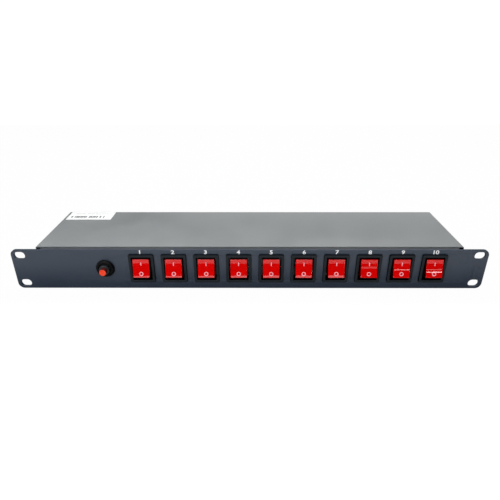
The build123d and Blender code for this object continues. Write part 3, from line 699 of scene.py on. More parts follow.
@dataclass(frozen=True)
class LensPlastic:
    """Translucent coloured plastic with a polished skin over a frosted inside."""

    deep: Colour
    lit: Colour
    # The edge colour is painted shade on the parts of the lens that turn away from its face.
    edge: Colour
    outwards: Colour
    coat_roughness: float = 0.045
    cells: float = 900.0

    def build(self, name: str, effects: Effects) -> bpy.types.Material:
        """The lens as a material: mottled inside, with painted shade, a dark colour and less coat, where its edges
        turn away from the face.
        """
        material, wires, shader = blank_material(name)
        place = wires.object_place()
        mottle = wires.spread(wires.noise(place, self.cells, detail=3.0, roughness=0.6), 0.3, 0.7)
        body = wires.mix(wires.math("MULTIPLY", mottle, 0.6), self.deep, self.lit)
        # Painted shade: where the surface turns from the face's direction it takes the edge colour and loses most
        # of its coat.
        turned = wires.spread(wires.facing(self.outwards), 0.965, 0.88)
        wires.join(wires.mix(turned, body, self.edge), shader.inputs["Base Color"])
        shader.inputs["Coat Roughness"].default_value = self.coat_roughness
        coat = wires.math("SUBTRACT", 1.0, wires.math("MULTIPLY", turned, 0.8))
        wires.join(coat, shader.inputs["Coat Weight"])
        shader.inputs["Roughness"].default_value = 0.6
        shader.inputs["Specular IOR Level"].default_value = 0.0
        dimples = effects.mould_grain.place(wires, Cells_per_metre=2600.0)
        add_bump(wires, shader, dimples.outputs["Height"], 0.04, 0.00001)
        return material


@dataclass(frozen=True)
class StampedMetal:
    """Bare or plated metal with drawing lines and stains."""

    colour: Colour
    stain: Colour
    roughness: float = 0.32
    lines: float = 4000.0

    def build(self, name: str, effects: Effects) -> bpy.types.Material:
        """The metal as a material."""
        material, wires, shader = blank_material(name)
        grain = effects.brushed.place(wires, Lines_per_metre=self.lines)
        stain = wires.spread(grain.outputs["Tone"], 0.45, 0.75, 0.0, 0.6)
        wires.join(wires.mix(stain, self.colour, self.stain), shader.inputs["Base Color"])
        rough = wires.spread(grain.outputs["Tone"], 0.3, 0.8, self.roughness - 0.07, self.roughness + 0.15)
        wires.join(rough, shader.inputs["Roughness"])
        shader.inputs["Metallic"].default_value = 1.0
        add_bump(wires, shader, grain.outputs["Height"], 0.25, 0.00001)
        return material


@dataclass(frozen=True)
class PrintedInk:
    """Screen-printed ink with a slightly uneven film."""

    colour: Colour
    thin_colour: Colour
    roughness: float = 0.5

    def build(self, name: str, effects: Effects) -> bpy.types.Material:
        """The ink as a material."""
        material, wires, shader = blank_material(name)
        place = wires.object_place()
        film = wires.spread(wires.noise(place, 2400.0, detail=3.0), 0.3, 0.5)
        wires.join(wires.mix(film, self.thin_colour, self.colour), shader.inputs["Base Color"])
        rough = wires.spread(film, 0.0, 1.0, self.roughness + 0.12, self.roughness)
        wires.join(rough, shader.inputs["Roughness"])
        shader.inputs["Specular IOR Level"].default_value = 0.3
        add_bump(wires, shader, film, 0.2, 0.00001)
        return material


@dataclass(frozen=True)
class PrintedPaper:
    """A coated paper label with rows of small grey bars in place of print."""

    paper: Colour
    print_colour: Colour
    corner: tuple[float, float]

    def bars(self, wires: Wiring, place: Socket, row_y: float, height: float, start: float, length: float,
             pitch: float, seed: float) -> Socket:
        """One row of bars of uneven width, as a mask.

        A bar shows where a hashed number for its cell is high enough, the point is inside the row, and it is
        away from the gap at the cell's end.

        Args:
            wires: The material's wiring.
            place: The shaded point.
            row_y: The row's middle, in metres from the label's front left corner.
            height: The row's height.
            start: Where the row starts along X.
            length: How long the row is.
            pitch: The width of a cell.
            seed: A number that makes rows differ.

        Returns:
            The mask's socket.
        """
        parts = wires.node("ShaderNodeSeparateXYZ")
        wires.join(place, parts.inputs[0])
        across = wires.math("SUBTRACT", parts.outputs["X"], self.corner[0] + start)
        cell = wires.math("FLOOR", wires.math("DIVIDE", across, pitch))
        within = wires.math("FRACT", wires.math("DIVIDE", across, pitch))
        number = wires.node("ShaderNodeTexWhiteNoise", noise_dimensions="1D")
        wires.join(wires.math("ADD", cell, seed), number.inputs["W"])
        shows = wires.math("GREATER_THAN", number.outputs["Value"], 0.24)
        bar_end = wires.math("ADD", 0.55, wires.math("MULTIPLY", number.outputs["Value"], 0.3))
        wide = wires.math("LESS_THAN", within, bar_end)
        off = wires.math("ABSOLUTE", wires.math("SUBTRACT", parts.outputs["Y"], self.corner[1] + row_y))
        inside = wires.math("LESS_THAN", off, height / 2)
        started = wires.math("GREATER_THAN", across, 0.0)
        ended = wires.math("LESS_THAN", across, length)
        mask = wires.math("MULTIPLY", wires.math("MULTIPLY", shows, wide), inside)
        return wires.math("MULTIPLY", mask, wires.math("MULTIPLY", started, ended))

    def build(self, name: str, effects: Effects) -> bpy.types.Material:
        """The label as a material."""
        material, wires, shader = blank_material(name)
        place = wires.object_place()
        fibres = wires.noise(place, 1800.0, detail=4.0, roughness=0.65)
        tone = wires.spread(fibres, 0.3, 0.7, 0.0, 0.12)
        sheet = wires.mix(tone, self.paper, (0.7, 0.7, 0.68))
        main_row = self.bars(wires, place, row_y=8.2 * MM, height=4.6 * MM, start=4.0 * MM, length=39.0 * MM,
                             pitch=2.1 * MM, seed=3.0)
        rear_row = self.bars(wires, place, row_y=19.0 * MM, height=2.6 * MM, start=6.0 * MM, length=38.0 * MM,
                             pitch=1.2 * MM, seed=41.0)
        sheet = wires.mix(main_row, sheet, self.print_colour)
        sheet = wires.mix(wires.math("MULTIPLY", rear_row, 0.28), sheet, self.print_colour)
        dust = effects.dust.place(wires, Amount=0.05)
        wires.join(wires.mix(dust.outputs["Mask"], sheet, DUST_COLOUR), shader.inputs["Base Color"])
        wires.join(wires.spread(fibres, 0.3, 0.7, 0.38, 0.5), shader.inputs["Roughness"])
        add_bump(wires, shader, fibres, 0.15, 0.00002)
        return material


@dataclass(frozen=True)
class LampGlass:
    """Clear glass of the small neon lamps, with a smoked film."""

    roughness: float = 0.05

    def build(self, name: str, effects: Effects) -> bpy.types.Material:
        """The glass as a material."""
        material, wires, shader = blank_material(name)
        film = wires.spread(wires.noise(wires.object_place(), 900.0, detail=3.0), 0.4, 0.8)
        wires.join(wires.mix(film, (0.95, 0.9, 0.85), (0.7, 0.6, 0.5)), shader.inputs["Base Color"])
        rough = wires.spread(film, 0.0, 1.0, self.roughness, self.roughness + 0.15)
        wires.join(rough, shader.inputs["Roughness"])
        shader.inputs["Transmission Weight"].default_value = 0.9
        return material


@dataclass
class FinishShop:
    """Builds each finish once and hands it out."""

    effects: Effects = field(default_factory=Effects)
    made: dict[Finish, bpy.types.Material] = field(default_factory=dict)

    def recipes(self) -> dict[Finish, object]:
        """Every finish with its colours and textures."""
        label_low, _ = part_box("rating_label")
        return {
            Finish.PANEL: PowderCoat((0.026, 0.039, 0.062), (0.07, 0.09, 0.12), roughness=0.36, specular=0.6,
                                     wear=0.04, dust=0.05),
            Finish.COVER: PowderCoat((0.2, 0.212, 0.216), (0.32, 0.33, 0.34), roughness=0.4, specular=0.5,
                                     wear=0.1, dust=0.12),
            Finish.TRAY: PowderCoat((0.032, 0.038, 0.045), (0.08, 0.085, 0.09), roughness=0.5, specular=0.4,
                                    wear=0.15),
            # The bezel's side colour is painted shade on its top and side faces.
            Finish.BEZEL: MouldedPlastic((0.02, 0.024, 0.028), roughness=0.55, specular=0.06, wear=0.05,
                                         dust=0.02, painted_side_shade=(0.0008, 0.001, 0.0014)),
            Finish.BREAKER: MouldedPlastic((0.012, 0.014, 0.017), roughness=0.3, specular=0.5, wear=0.1,
                                           depth=0.00001),
            Finish.NUT: MouldedPlastic((0.003, 0.003, 0.0038), roughness=0.4, specular=0.12, wear=0.1,
                                       dust=0.03),
            Finish.OUTLET: MouldedPlastic((0.014, 0.014, 0.015), roughness=0.42, specular=0.4),
            # The lens's third colour is painted shade on its turned-away edges.
            Finish.LENS: LensPlastic((0.66, 0.0, 0.0), (0.86, 0.002, 0.001), (0.03, 0.0, 0.0),
                                     (0.0, -math.cos(LENS_TILT), math.sin(LENS_TILT))),
            # The button's dark red side colour is painted shade on its barrel.
            Finish.BUTTON: MouldedPlastic((0.95, 0.05, 0.012), roughness=0.35, specular=0.3, wear=0.05,
                                          worn_colour=(0.9, 0.2, 0.12), painted_side_shade=(0.09, 0.003, 0.002)),
            Finish.ZINC: StampedMetal((0.62, 0.63, 0.64), (0.42, 0.43, 0.43), roughness=0.34),
            Finish.BLACK_STEEL: StampedMetal((0.05, 0.05, 0.052), (0.1, 0.095, 0.09), roughness=0.38),
            Finish.BRASS: StampedMetal((0.72, 0.53, 0.25), (0.4, 0.27, 0.12), roughness=0.3),
            Finish.COPPER: StampedMetal((0.75, 0.39, 0.24), (0.36, 0.17, 0.1), roughness=0.33),
            Finish.GLASS: LampGlass(),
            Finish.WIRE: MouldedPlastic((0.02, 0.02, 0.021), roughness=0.4, specular=0.45, cells=1600.0),
            Finish.LABEL: PrintedPaper((0.86, 0.87, 0.86), (0.05, 0.055, 0.06),
                                       (label_low.x, label_low.y)),
            Finish.INK: PrintedInk((0.95, 0.95, 0.95), (0.88, 0.89, 0.9)),
            Finish.LENS_INK: PrintedInk((0.95, 0.5, 0.56), (0.9, 0.36, 0.4), roughness=0.35),
        }

    def get(self, finish: Finish) -> bpy.types.Material:
        """The material of one finish."""
        if finish not in self.made:
            self.made[finish] = self.recipes()[finish].build(finish.value, self.effects)
            LOG.info("finish %s", finish.value)
        return self.made[finish]


# ------------------------------------------------------------------------------------------ sub-assemblies


@dataclass
class Switch:
    """One lit rocker switch: housing, lens, on and off marks, spring and plunger."""

    number: int
    shop: FinishShop
    lens_width: float = 17.8 * MM
    half_length: float = 10.2 * MM
    face: float = 9.5 * MM
    dish: float = 1.1 * MM
    corner: float = 1.0 * MM
    side_round: float = 1.0 * MM
    trunnion_radius: float = 1.5 * MM
    trunnion_reach: float = 10.8 * MM
    mark_lift: float = 0.03 * MM
    on_centre: float = 4.6 * MM
    on_length: float = 3.9 * MM
    off_centre: float = -5.65 * MM
    off_radius: float = 2.1 * MM
    mark_stroke: float = 0.75 * MM
    bezel_round: float = 0.6
    bezel_corner: float = 1.4

    def __post_init__(self) -> None:
        """Reads the hinge of this switch from the frame."""
        joint = next(j for j in frame["joints"] if j["name"] == f"rocker_{self.number}_hinge")
        self.pivot = Vector(joint["pos_m"])
        self.body = joint["child"]

    def place(self, local: np.ndarray) -> np.ndarray:
        """Takes points drawn level about the pivot to the rest position, turned by the tilt about X."""
        turn = np.array(Matrix.Rotation(-LENS_TILT, 3, "X"))
        return local @ turn.T + np.array(self.pivot)

    def face_depth(self, along: np.ndarray) -> np.ndarray:
        """How far the lens's face lies behind its ends: a parabola that is the dish deep at the centre."""
        return self.dish * (1.0 - (along / self.half_length) ** 2)

    def lens_outline(self) -> np.ndarray:
        """The lens's section: the dished face, rounded ends, and sides that close in behind, as Y and Z."""
        half, bend = self.half_length, 0.5 * MM
        along = np.linspace(-half, half, 41)[2:-2]
        bowl = np.stack([-self.face + self.face_depth(along), along], axis=-1)
        corners = np.array([
            bowl[-1], [-self.face, half], [-1.5 * MM, half - 0.5 * MM], [2.4 * MM, 3.4 * MM],
            [2.4 * MM, -3.4 * MM], [-1.5 * MM, -half + 0.5 * MM], [-self.face, -half], bowl[0]])
        radii = np.array([self.corner, bend, bend, bend, bend, self.corner])
        ends = filleted(corners, np.concatenate([[1e-6], radii, [1e-6]]), per_corner=9)
        return np.concatenate([ends[9:-9], bowl])

    def lens(self) -> bpy.types.Object:
        """The lens: its section carried along X, drawn in at both sides by a quarter round.

        At a quarter round's angle t the section stands at half the width less the radius plus the radius
        times the sine, and is drawn in by the radius times one less the cosine. A section just inside the
        rounds keeps the face between them straight.
        """
        outline = self.lens_outline()
        inwards = inward_normals(outline)
        angle = np.linspace(0.0, math.pi / 2, 7)
        reach = self.lens_width / 2 - self.side_round * (1.0 - np.sin(angle))
        reach = np.concatenate([[reach[0] - 0.2 * MM], reach])
        drawn = np.concatenate([[0.0], self.side_round * (1.0 - np.cos(angle))])
        x = np.concatenate([-reach[::-1], reach])
        inset = np.concatenate([drawn[::-1], drawn])
        section = outline[None] + inset[:, None, None] * inwards[None]
        across = np.broadcast_to(x[:, None, None], (*section.shape[:2], 1))
        rings = np.concatenate([across, section], axis=-1)
        shape = self.place(rings.reshape(-1, 3)).reshape(rings.shape)
        return loft(f"lens_{self.number}", shape, sharp=32.0)

    def trunnions(self) -> bpy.types.Object:
        """The two round pins that the lens turns on, as one bar with rounded ends."""
        radius, reach, soft = self.trunnion_radius, self.trunnion_reach, 0.2 * MM
        x = np.array([-reach, -reach + soft, reach - soft, reach])
        size = np.array([radius - soft, radius, radius, radius - soft])
        angle = np.linspace(0.0, 2 * math.pi, 32, endpoint=False)
        across = np.broadcast_to(x[:, None], (len(x), len(angle)))
        rings = np.stack([across, size[:, None] * np.cos(angle), size[:, None] * np.sin(angle)], axis=-1)
        return loft(f"trunnions_{self.number}", self.place(rings.reshape(-1, 3)).reshape(rings.shape))

    def stem(self) -> bpy.types.Object:
        """The hollow stem that guides the plunger."""
        centre = Vector((0.0, 0.0, 0.0))
        profile = [(1.3, 4.0), (2.4, 1.0), (2.4, 8.7), (2.2, 9.0), (1.3, 9.0), (1.28, 4.1)]
        piece = revolve(f"stem_{self.number}", [(r * MM, y * MM) for r, y in profile], centre, 32)
        return self.turned(piece)

    def plunger(self) -> bpy.types.Object:
        """The sprung plunger whose round nose rides on the contact lever."""
        centre = Vector((0.0, 0.0, 0.0))
        nose = np.linspace(0.0, math.radians(80), 7)
        profile = [(0.6 * MM, 5.0 * MM), (1.2 * MM, 5.1 * MM)]
        profile += [(1.2 * MM * math.cos(a), (9.9 + 1.2 * math.sin(a)) * MM) for a in nose]
        return self.turned(revolve(f"plunger_{self.number}", profile, centre, 24))

    def spring(self) -> bpy.types.Object:
        """The coil spring behind the plunger: a helix about the stem's axis."""
        turns, radius = 7.0, 0.9 * MM
        angle = np.linspace(0.0, 2 * math.pi * turns, int(turns * 18))
        depth = np.linspace(2.4 * MM, 4.8 * MM, len(angle))
        line = np.stack([radius * np.cos(angle), depth, radius * np.sin(angle)], axis=-1)
        return tube(f"plunger_spring_{self.number}", self.place(line), 0.13 * MM, 8)

    def turned(self, piece: bpy.types.Object) -> bpy.types.Object:
        """Takes a piece drawn level about the pivot to the rest position, in its mesh."""
        count = len(piece.data.vertices)
        flat = np.empty(count * 3)
        piece.data.vertices.foreach_get("co", flat)
        piece.data.vertices.foreach_set("co", self.place(flat.reshape(-1, 3)).ravel())
        piece.data.update()
        return piece

    def on_face(self, across: np.ndarray, along: np.ndarray, lift: np.ndarray) -> np.ndarray:
        """Points on the lens's face at given distances across and along it, raised by a lift."""
        depth = -self.face + self.face_depth(along) - lift
        return self.place(np.stack([across, depth, along], axis=-1).reshape(-1, 3))

    def on_mark(self) -> bpy.types.Object:
        """The straight mark: a rounded bar laid on the curved face, with four edges carried along it."""
        half_length, half_width = self.on_length / 2, self.mark_stroke / 2
        along = np.linspace(self.on_centre - half_length, self.on_centre + half_length, 13)
        ease = np.minimum(np.abs(along - along[0]), np.abs(along - along[-1]))
        from_end = 1.0 - np.clip(ease / half_width, 0.0, 1.0)
        half = half_width * np.sqrt(np.clip(1.0 - from_end ** 2, 0.12, 1.0))
        across = np.stack([-half, half, half, -half], axis=-1)
        lift = np.tile(self.mark_lift * np.array([1.0, 1.0, -1.0, -1.0]), (len(along), 1))
        rings = self.on_face(across, np.repeat(along[:, None], 4, axis=1), lift).reshape(len(along), 4, 3)
        return loft(f"on_mark_{self.number}", rings)

    def off_mark(self) -> bpy.types.Object:
        """The round mark: a ring laid on the curved face, its four-edged section carried round the centre."""
        angle = np.linspace(0.0, 2 * math.pi, 48, endpoint=False)
        outer, inner = self.off_radius, self.off_radius - self.mark_stroke
        radius = np.array([inner, outer, outer, inner])
        lift = np.tile(self.mark_lift * np.array([1.0, 1.0, -1.0, -1.0]), (len(angle), 1))
        across = np.cos(angle)[:, None] * radius
        along = self.off_centre + np.sin(angle)[:, None] * radius
        points = self.on_face(across, along, lift)
        faces = quads_between(len(angle), 4, closed_rings=True).tolist()
        return make_piece(f"off_mark_{self.number}", points, faces)

    def housing(self) -> bpy.types.Object:
        """The housing: one shell of rounded rectangles, from the inner floor to the bezel and its outside.

        Each row is half a width, half a height, a corner radius and a depth, in millimetres.
        """
        low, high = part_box(f"switch_housing_{self.number}")
        middle = (low + high) / 2
        half_w, half_h = (high.x - low.x) / 2 / MM, (high.z - low.z) / 2 / MM
        front, rear = low.y / MM, high.y / MM
        seat = frame_box_y("front_panel")[0] / MM
        soft = np.linspace(0.0, math.pi / 2, 5)
        ease, corner = self.bezel_round, self.bezel_corner
        rows = [(9.8, 12.8, 0.4, rear - 1.5), (9.8, 12.8, 0.5, front + 0.55),
                (9.95, 12.95, 0.6, front + 0.22), (10.25, 13.25, 0.7, front)]
        rows += [(half_w - ease * (1 - math.sin(a)), half_h - ease * (1 - math.sin(a)), corner,
                  front + ease * (1 - math.cos(a))) for a in soft]
        rows += [(half_w, half_h, corner, seat), (10.9, 13.9, 0.5, seat), (10.9, 13.9, 0.5, rear - 0.3),
                 (10.6, 13.6, 0.5, rear)]
        table = np.array(rows) * MM
        flat = rounded_rectangle(table[:, 0], table[:, 1], table[:, 2], 6)
        depth = np.broadcast_to(table[:, 3][:, None, None], (*flat.shape[:2], 1))
        rings = np.concatenate([flat[..., :1], depth, flat[..., 1:]], axis=-1)
        rings = rings + np.array([middle.x, 0.0, middle.z])
        return loft(f"bezel_{self.number}", rings)

    def build(self) -> None:
        """Makes the switch's pieces."""
        lens, ink, zinc = [self.shop.get(f) for f in (Finish.LENS, Finish.LENS_INK, Finish.ZINC)]
        settle(self.housing(), CHASSIS, self.shop.get(Finish.BEZEL),
               (f"switch_housing_{self.number}",))
        settle(self.lens(), self.body, lens, (f"rocker_{self.number}",))
        settle(self.trunnions(), self.body, lens)
        settle(self.stem(), self.body, lens)
        settle(self.plunger(), self.body, self.shop.get(Finish.BREAKER))
        settle(self.spring(), self.body, zinc)
        settle(self.on_mark(), self.body, ink)
        settle(self.off_mark(), self.body, ink)


def frame_box_y(node: str) -> tuple[float, float]:
    """The lowest and the highest Y of a CAD node."""
    low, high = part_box(node)
    return low.y, high.y


@dataclass
class Breaker:
    """The reset breaker's clamping ring and button."""

    shop: FinishShop
    segments: int = 96
    flutes: int = 24
    flute_depth: float = 0.22 * MM

    def ring(self) -> bpy.types.Object:
        """The clamping ring: a stepped and fluted nut with a recess round the neck."""
        low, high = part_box("breaker_ring")
        foot, front = high.y, low.y
        radius = (high.x - low.x) / 2
        profile = [
            (5.2 * MM, foot), (radius - 0.25 * MM, foot), (radius, foot - 0.25 * MM),
            (radius, foot - 1.1 * MM), (radius - 0.2 * MM, foot - 1.5 * MM), (8.45 * MM, front + 0.5 * MM),
            (8.2 * MM, front + 0.15 * MM), (7.8 * MM, front), (7.1 * MM, front),
            (6.8 * MM, front + 0.12 * MM), (6.65 * MM, front + 0.45 * MM), (6.6 * MM, foot - 1.0 * MM),
            (5.2 * MM, foot - 0.9 * MM)]
        return revolve("clamping_ring", profile, node_centre("breaker_ring"), self.segments,
                       ripple=(self.flutes, self.flute_depth))

    def button(self) -> bpy.types.Object:
        """The button: a rod with a rounded rim and a slightly hollow face."""
        low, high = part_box("breaker_button")
        radius = (high.x - low.x) / 2
        soft = np.linspace(0.0, math.pi / 2, 6)
        rim = [(radius - 0.6 * MM * (1 - math.sin(a)), low.y + 0.6 * MM * (1 - math.cos(a))) for a in soft]
        hollow = [(radius * s, low.y + 0.25 * MM * (1 - (s / 0.8) ** 2)) for s in (0.05, 0.2, 0.4, 0.6, 0.78)]
        profile = hollow + rim + [(radius, high.y - 0.3 * MM), (radius - 0.3 * MM, high.y)]
        return revolve("reset_button", profile, node_centre("breaker_button"), 48)

    def build(self) -> None:
        """Makes the breaker's front pieces."""
        settle(self.ring(), CHASSIS, self.shop.get(Finish.NUT), ("breaker_ring",))
        settle(self.button(), "breaker_button", self.shop.get(Finish.BUTTON),
               ("breaker_button",))


@dataclass
class Case:
    """The sheet-metal case's cover, side screws, label and the printed numbers; the panel and the tray come from
    Dressing.
    """

    shop: FinishShop
    sheet: float = 1.2 * MM
    bend: float = 1.9 * MM
    numeral_height: float = 4.3 * MM
    numeral_gap: float = 0.35 * MM
    numeral_stretch: float = 1.22
    numeral_spread: float = 0.11 * MM
    unshifted_numeral: float = 6.5
    numeral_weight: float = 0.024
    numeral_thickness: float = 0.004

    def cover(self) -> bpy.types.Object:
        """The folded cover: a closed section, out round the bends and back inside them, carried along Y.

        Each station of the cut edges is drawn in by a small quarter round, so that the edge catches light.
        """
        low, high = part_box("top_cover")
        half, top, foot = high.x, high.z, low.z
        outer = np.array([[half, foot], [half, top], [-half, top], [-half, foot]])
        inner = np.array([[-half + self.sheet, foot], [-half + self.sheet, top - self.sheet],
                          [half - self.sheet, top - self.sheet], [half - self.sheet, foot]])
        foot_radius, inner_bend = 0.1 * MM, self.bend - self.sheet
        radii = np.array([foot_radius, self.bend, self.bend, foot_radius,
                          foot_radius, inner_bend, inner_bend, foot_radius])
        outline = filleted(np.concatenate([outer, inner]), radii, per_corner=9)
        inwards = inward_normals(outline)
        angle = np.linspace(0.0, math.pi / 2, 4)
        soft = 0.18 * MM
        ease, drawn = soft * (1.0 - np.sin(angle)), soft * (1.0 - np.cos(angle))
        y = np.concatenate([low.y + ease[::-1], high.y - ease])
        inset = np.concatenate([drawn[::-1], drawn])
        section = outline[None] + inset[:, None, None] * inwards[None]
        depth = np.broadcast_to(y[:, None, None], (*section.shape[:2], 1))
        rings = np.concatenate([section[..., :1], depth, section[..., 1:]], axis=-1)
        return loft("cover_shell", rings, sharp=50.0)

    def label(self) -> bpy.types.Object:
        """The label: a thin sheet with round corners and a faint wave, a sine along X times one along Y."""
        low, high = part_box("rating_label")
        centre, half = (low + high) / 2, (high - low) / 2
        shares = np.array([0.02, 0.25, 0.5, 0.75, 0.9, 1.0, 1.0, 0.02])
        outline = rounded_rectangle(half.x * shares, half.y * shares, 1.0 * MM * shares, 12)
        wave = 0.012 * MM * np.sin(outline[..., 0] * 240.0) * np.sin(outline[..., 1] * 300.0)
        level = np.array([high.z] * 6 + [low.z] * 2)[:, None] - 0.014 * MM * (np.arange(8) < 6)[:, None]
        height = level + np.where(np.arange(8)[:, None] < 6, wave, 0.0)
        rings = np.stack([outline[..., 0] + centre.x, outline[..., 1] + centre.y, height], axis=-1)
        return loft("rating_sticker", rings)

    def screw(self, number: int, centre: Vector, side: float) -> bpy.types.Object:
        """One pan-head screw with a crossed recess, its axis along X.

        The head's height is its rise times the root of one less the fourth power of the share of its radius,
        and the recess presses the crown in where the point lies within either arm of the cross.
        """
        radius, rise = 2.8 * MM, 1.7 * MM
        share = np.concatenate([np.linspace(0.04, 0.92, 14), [0.97, 1.0, 1.0]])
        height = rise * np.sqrt(np.clip(1.0 - (share * 0.86) ** 4, 0.0, 1.0))
        height[-1] = 0.0
        angle = np.linspace(0.0, 2 * math.pi, 96, endpoint=False)
        y = radius * share[:, None] * np.cos(angle)
        z = radius * share[:, None] * np.sin(angle)
        arm, arm_length = 0.42 * MM, 1.55 * MM
        on_y = (np.abs(z) < arm) & (np.abs(y) < arm_length)
        on_z = (np.abs(y) < arm) & (np.abs(z) < arm_length)
        lifted = height[:, None] - np.where(on_y | on_z, 0.8 * MM, 0.0)
        rings = np.stack([centre.x + side * lifted, centre.y + y, centre.z + z], axis=-1)
        return loft(f"cover_screw_{number}", rings, sharp=45.0)

    def numeral(self, number: int) -> bpy.types.Object:
        """One printed number, from the built-in typeface, as a thin closed plate on the panel's front."""
        curve = bpy.data.curves.new(f"numeral_{number}", "FONT")
        curve.body = str(number)
        curve.align_x = "CENTER"
        curve.offset = self.numeral_weight
        curve.extrude = self.numeral_thickness
        curve.resolution_u = 6
        text = bpy.data.objects.new(f"numeral_{number}", curve)
        bpy.context.scene.collection.objects.link(text)
        bpy.context.view_layer.update()
        mesh = bpy.data.meshes.new_from_object(text)
        bpy.data.objects.remove(text)
        flat = np.empty(len(mesh.vertices) * 3)
        mesh.vertices.foreach_get("co", flat)
        points = flat.reshape(-1, 3)
        scale = self.numeral_height / (points[:, 1].max() - points[:, 1].min())
        low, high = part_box(f"switch_housing_{number}")
        panel_front = frame_box_y("front_panel")[0]
        middle = (points[:, 0].max() + points[:, 0].min()) / 2
        centre = (low.x + high.x) / 2 + self.numeral_spread * (number - self.unshifted_numeral)
        x = centre + (points[:, 0] - middle) * scale * self.numeral_stretch
        z = high.z + self.numeral_gap + (points[:, 1] - points[:, 1].min()) * scale
        y = panel_front - points[:, 2] * scale * 1.6
        mesh.vertices.foreach_set("co", np.stack([x, y, z], axis=-1).ravel())
        mesh.update()
        piece = bpy.data.objects.new(f"numeral_{number}", mesh)
        bpy.context.scene.collection.objects.link(piece)
        return piece

    def build(self) -> None:
        """Makes the case's pieces."""
        settle(self.cover(), CHASSIS, self.shop.get(Finish.COVER), ("top_cover",))
        settle(self.label(), CHASSIS, self.shop.get(Finish.LABEL), ("rating_label",))
        low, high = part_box("cover_screws")
        cover_low, cover_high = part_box("top_cover")
        z = (low.z + high.z) / 2
        radius = (high.z - low.z) / 2
        black = self.shop.get(Finish.BLACK_STEEL)
        rows = (low.y + radius, high.y - radius)
        places = [(x, y, side) for x, side in ((cover_low.x, -1.0), (cover_high.x, 1.0)) for y in rows]
        for number, (x, y, side) in enumerate(places, start=1):
            settle(self.screw(number, Vector((x, y, z)), side), CHASSIS, black)
        for number in range(1, SWITCH_COUNT + 1):
            settle(self.numeral(number), CHASSIS, self.shop.get(Finish.INK))


@dataclass
class SoftenedNode:
    """A merged copy of a CAD node with small rounded edges, which stands for the node."""

    node: str
    name: str
    width: float = 0.12 * MM
    sharp: float = 38.0

    def build(self, material: bpy.types.Material, slot: str) -> bpy.types.Object:
        """Copies the node's mesh, merges its loose triangles into plain faces and rounds its edges.

        Args:
            material: The copy's finish.
            slot: The record's material slot; not used.

        Returns:
            The copy.
        """
        mesh = frame["nodes"][self.node].data.copy()
        mesh.name = self.name
        work = bmesh.new()
        work.from_mesh(mesh)
        bmesh.ops.remove_doubles(work, verts=work.verts, dist=1e-6)
        bmesh.ops.dissolve_limit(work, angle_limit=math.radians(0.5), verts=work.verts, edges=work.edges)
        work.to_mesh(mesh)
        work.free()
        mesh.polygons.foreach_set("use_smooth", np.ones(len(mesh.polygons), dtype=bool))
        mesh.set_sharp_from_angle(angle=math.radians(self.sharp))
        piece = bpy.data.objects.new(self.name, mesh)
        bpy.context.scene.collection.objects.link(piece)
        rounding = piece.modifiers.new("edge_rounding", "BEVEL")
        rounding.width = self.width
        rounding.segments = 2
        rounding.limit_method = "ANGLE"
        rounding.angle_limit = math.radians(self.sharp)
        rounding.use_clamp_overlap = True
        return settle(piece, CHASSIS, material, (self.node,))


@dataclass
class Dressing:
    """Gives the remaining CAD nodes their finishes."""

    shop: FinishShop
    by_slot: dict[str, Finish] = field(default_factory=lambda: {f.value: f for f in Finish})

    def soften(self) -> None:
        """Stands rounded copies in for the sheet metal and the rear mouldings that show."""
        slots = {entry["node"]: entry["material_slot"] for entry in frame["record"]["subparts"]}
        softened = [SoftenedNode("front_panel", "panel_plate", 0.15 * MM),
                    SoftenedNode("chassis_tray", "tray_shell"),
                    SoftenedNode("inlet_housing", "inlet_shell", 0.2 * MM),
                    SoftenedNode("breaker_housing", "breaker_shell", 0.25 * MM)]
        softened += [SoftenedNode(f"outlet_{k}", f"outlet_shell_{k}", 0.15 * MM)
                     for k in range(1, SWITCH_COUNT + 1)]
        for entry in softened:
            slot = slots[entry.node]
            entry.build(self.shop.get(self.by_slot[slot]), slot)

    def paint(self) -> None:
        """Puts each node's finish in its material slot."""
        for entry in frame["record"]["subparts"]:
            node = frame["nodes"][entry["node"]]
            material = self.shop.get(self.by_slot[entry["material_slot"]])
            if node.material_slots:
                for place in node.material_slots:
                    place.material = material
            else:
                node.data.materials.append(material)
            LOG.info("dressed %s in %s", node.name, material.name)


# ------------------------------------------------------------------------------------------ studio


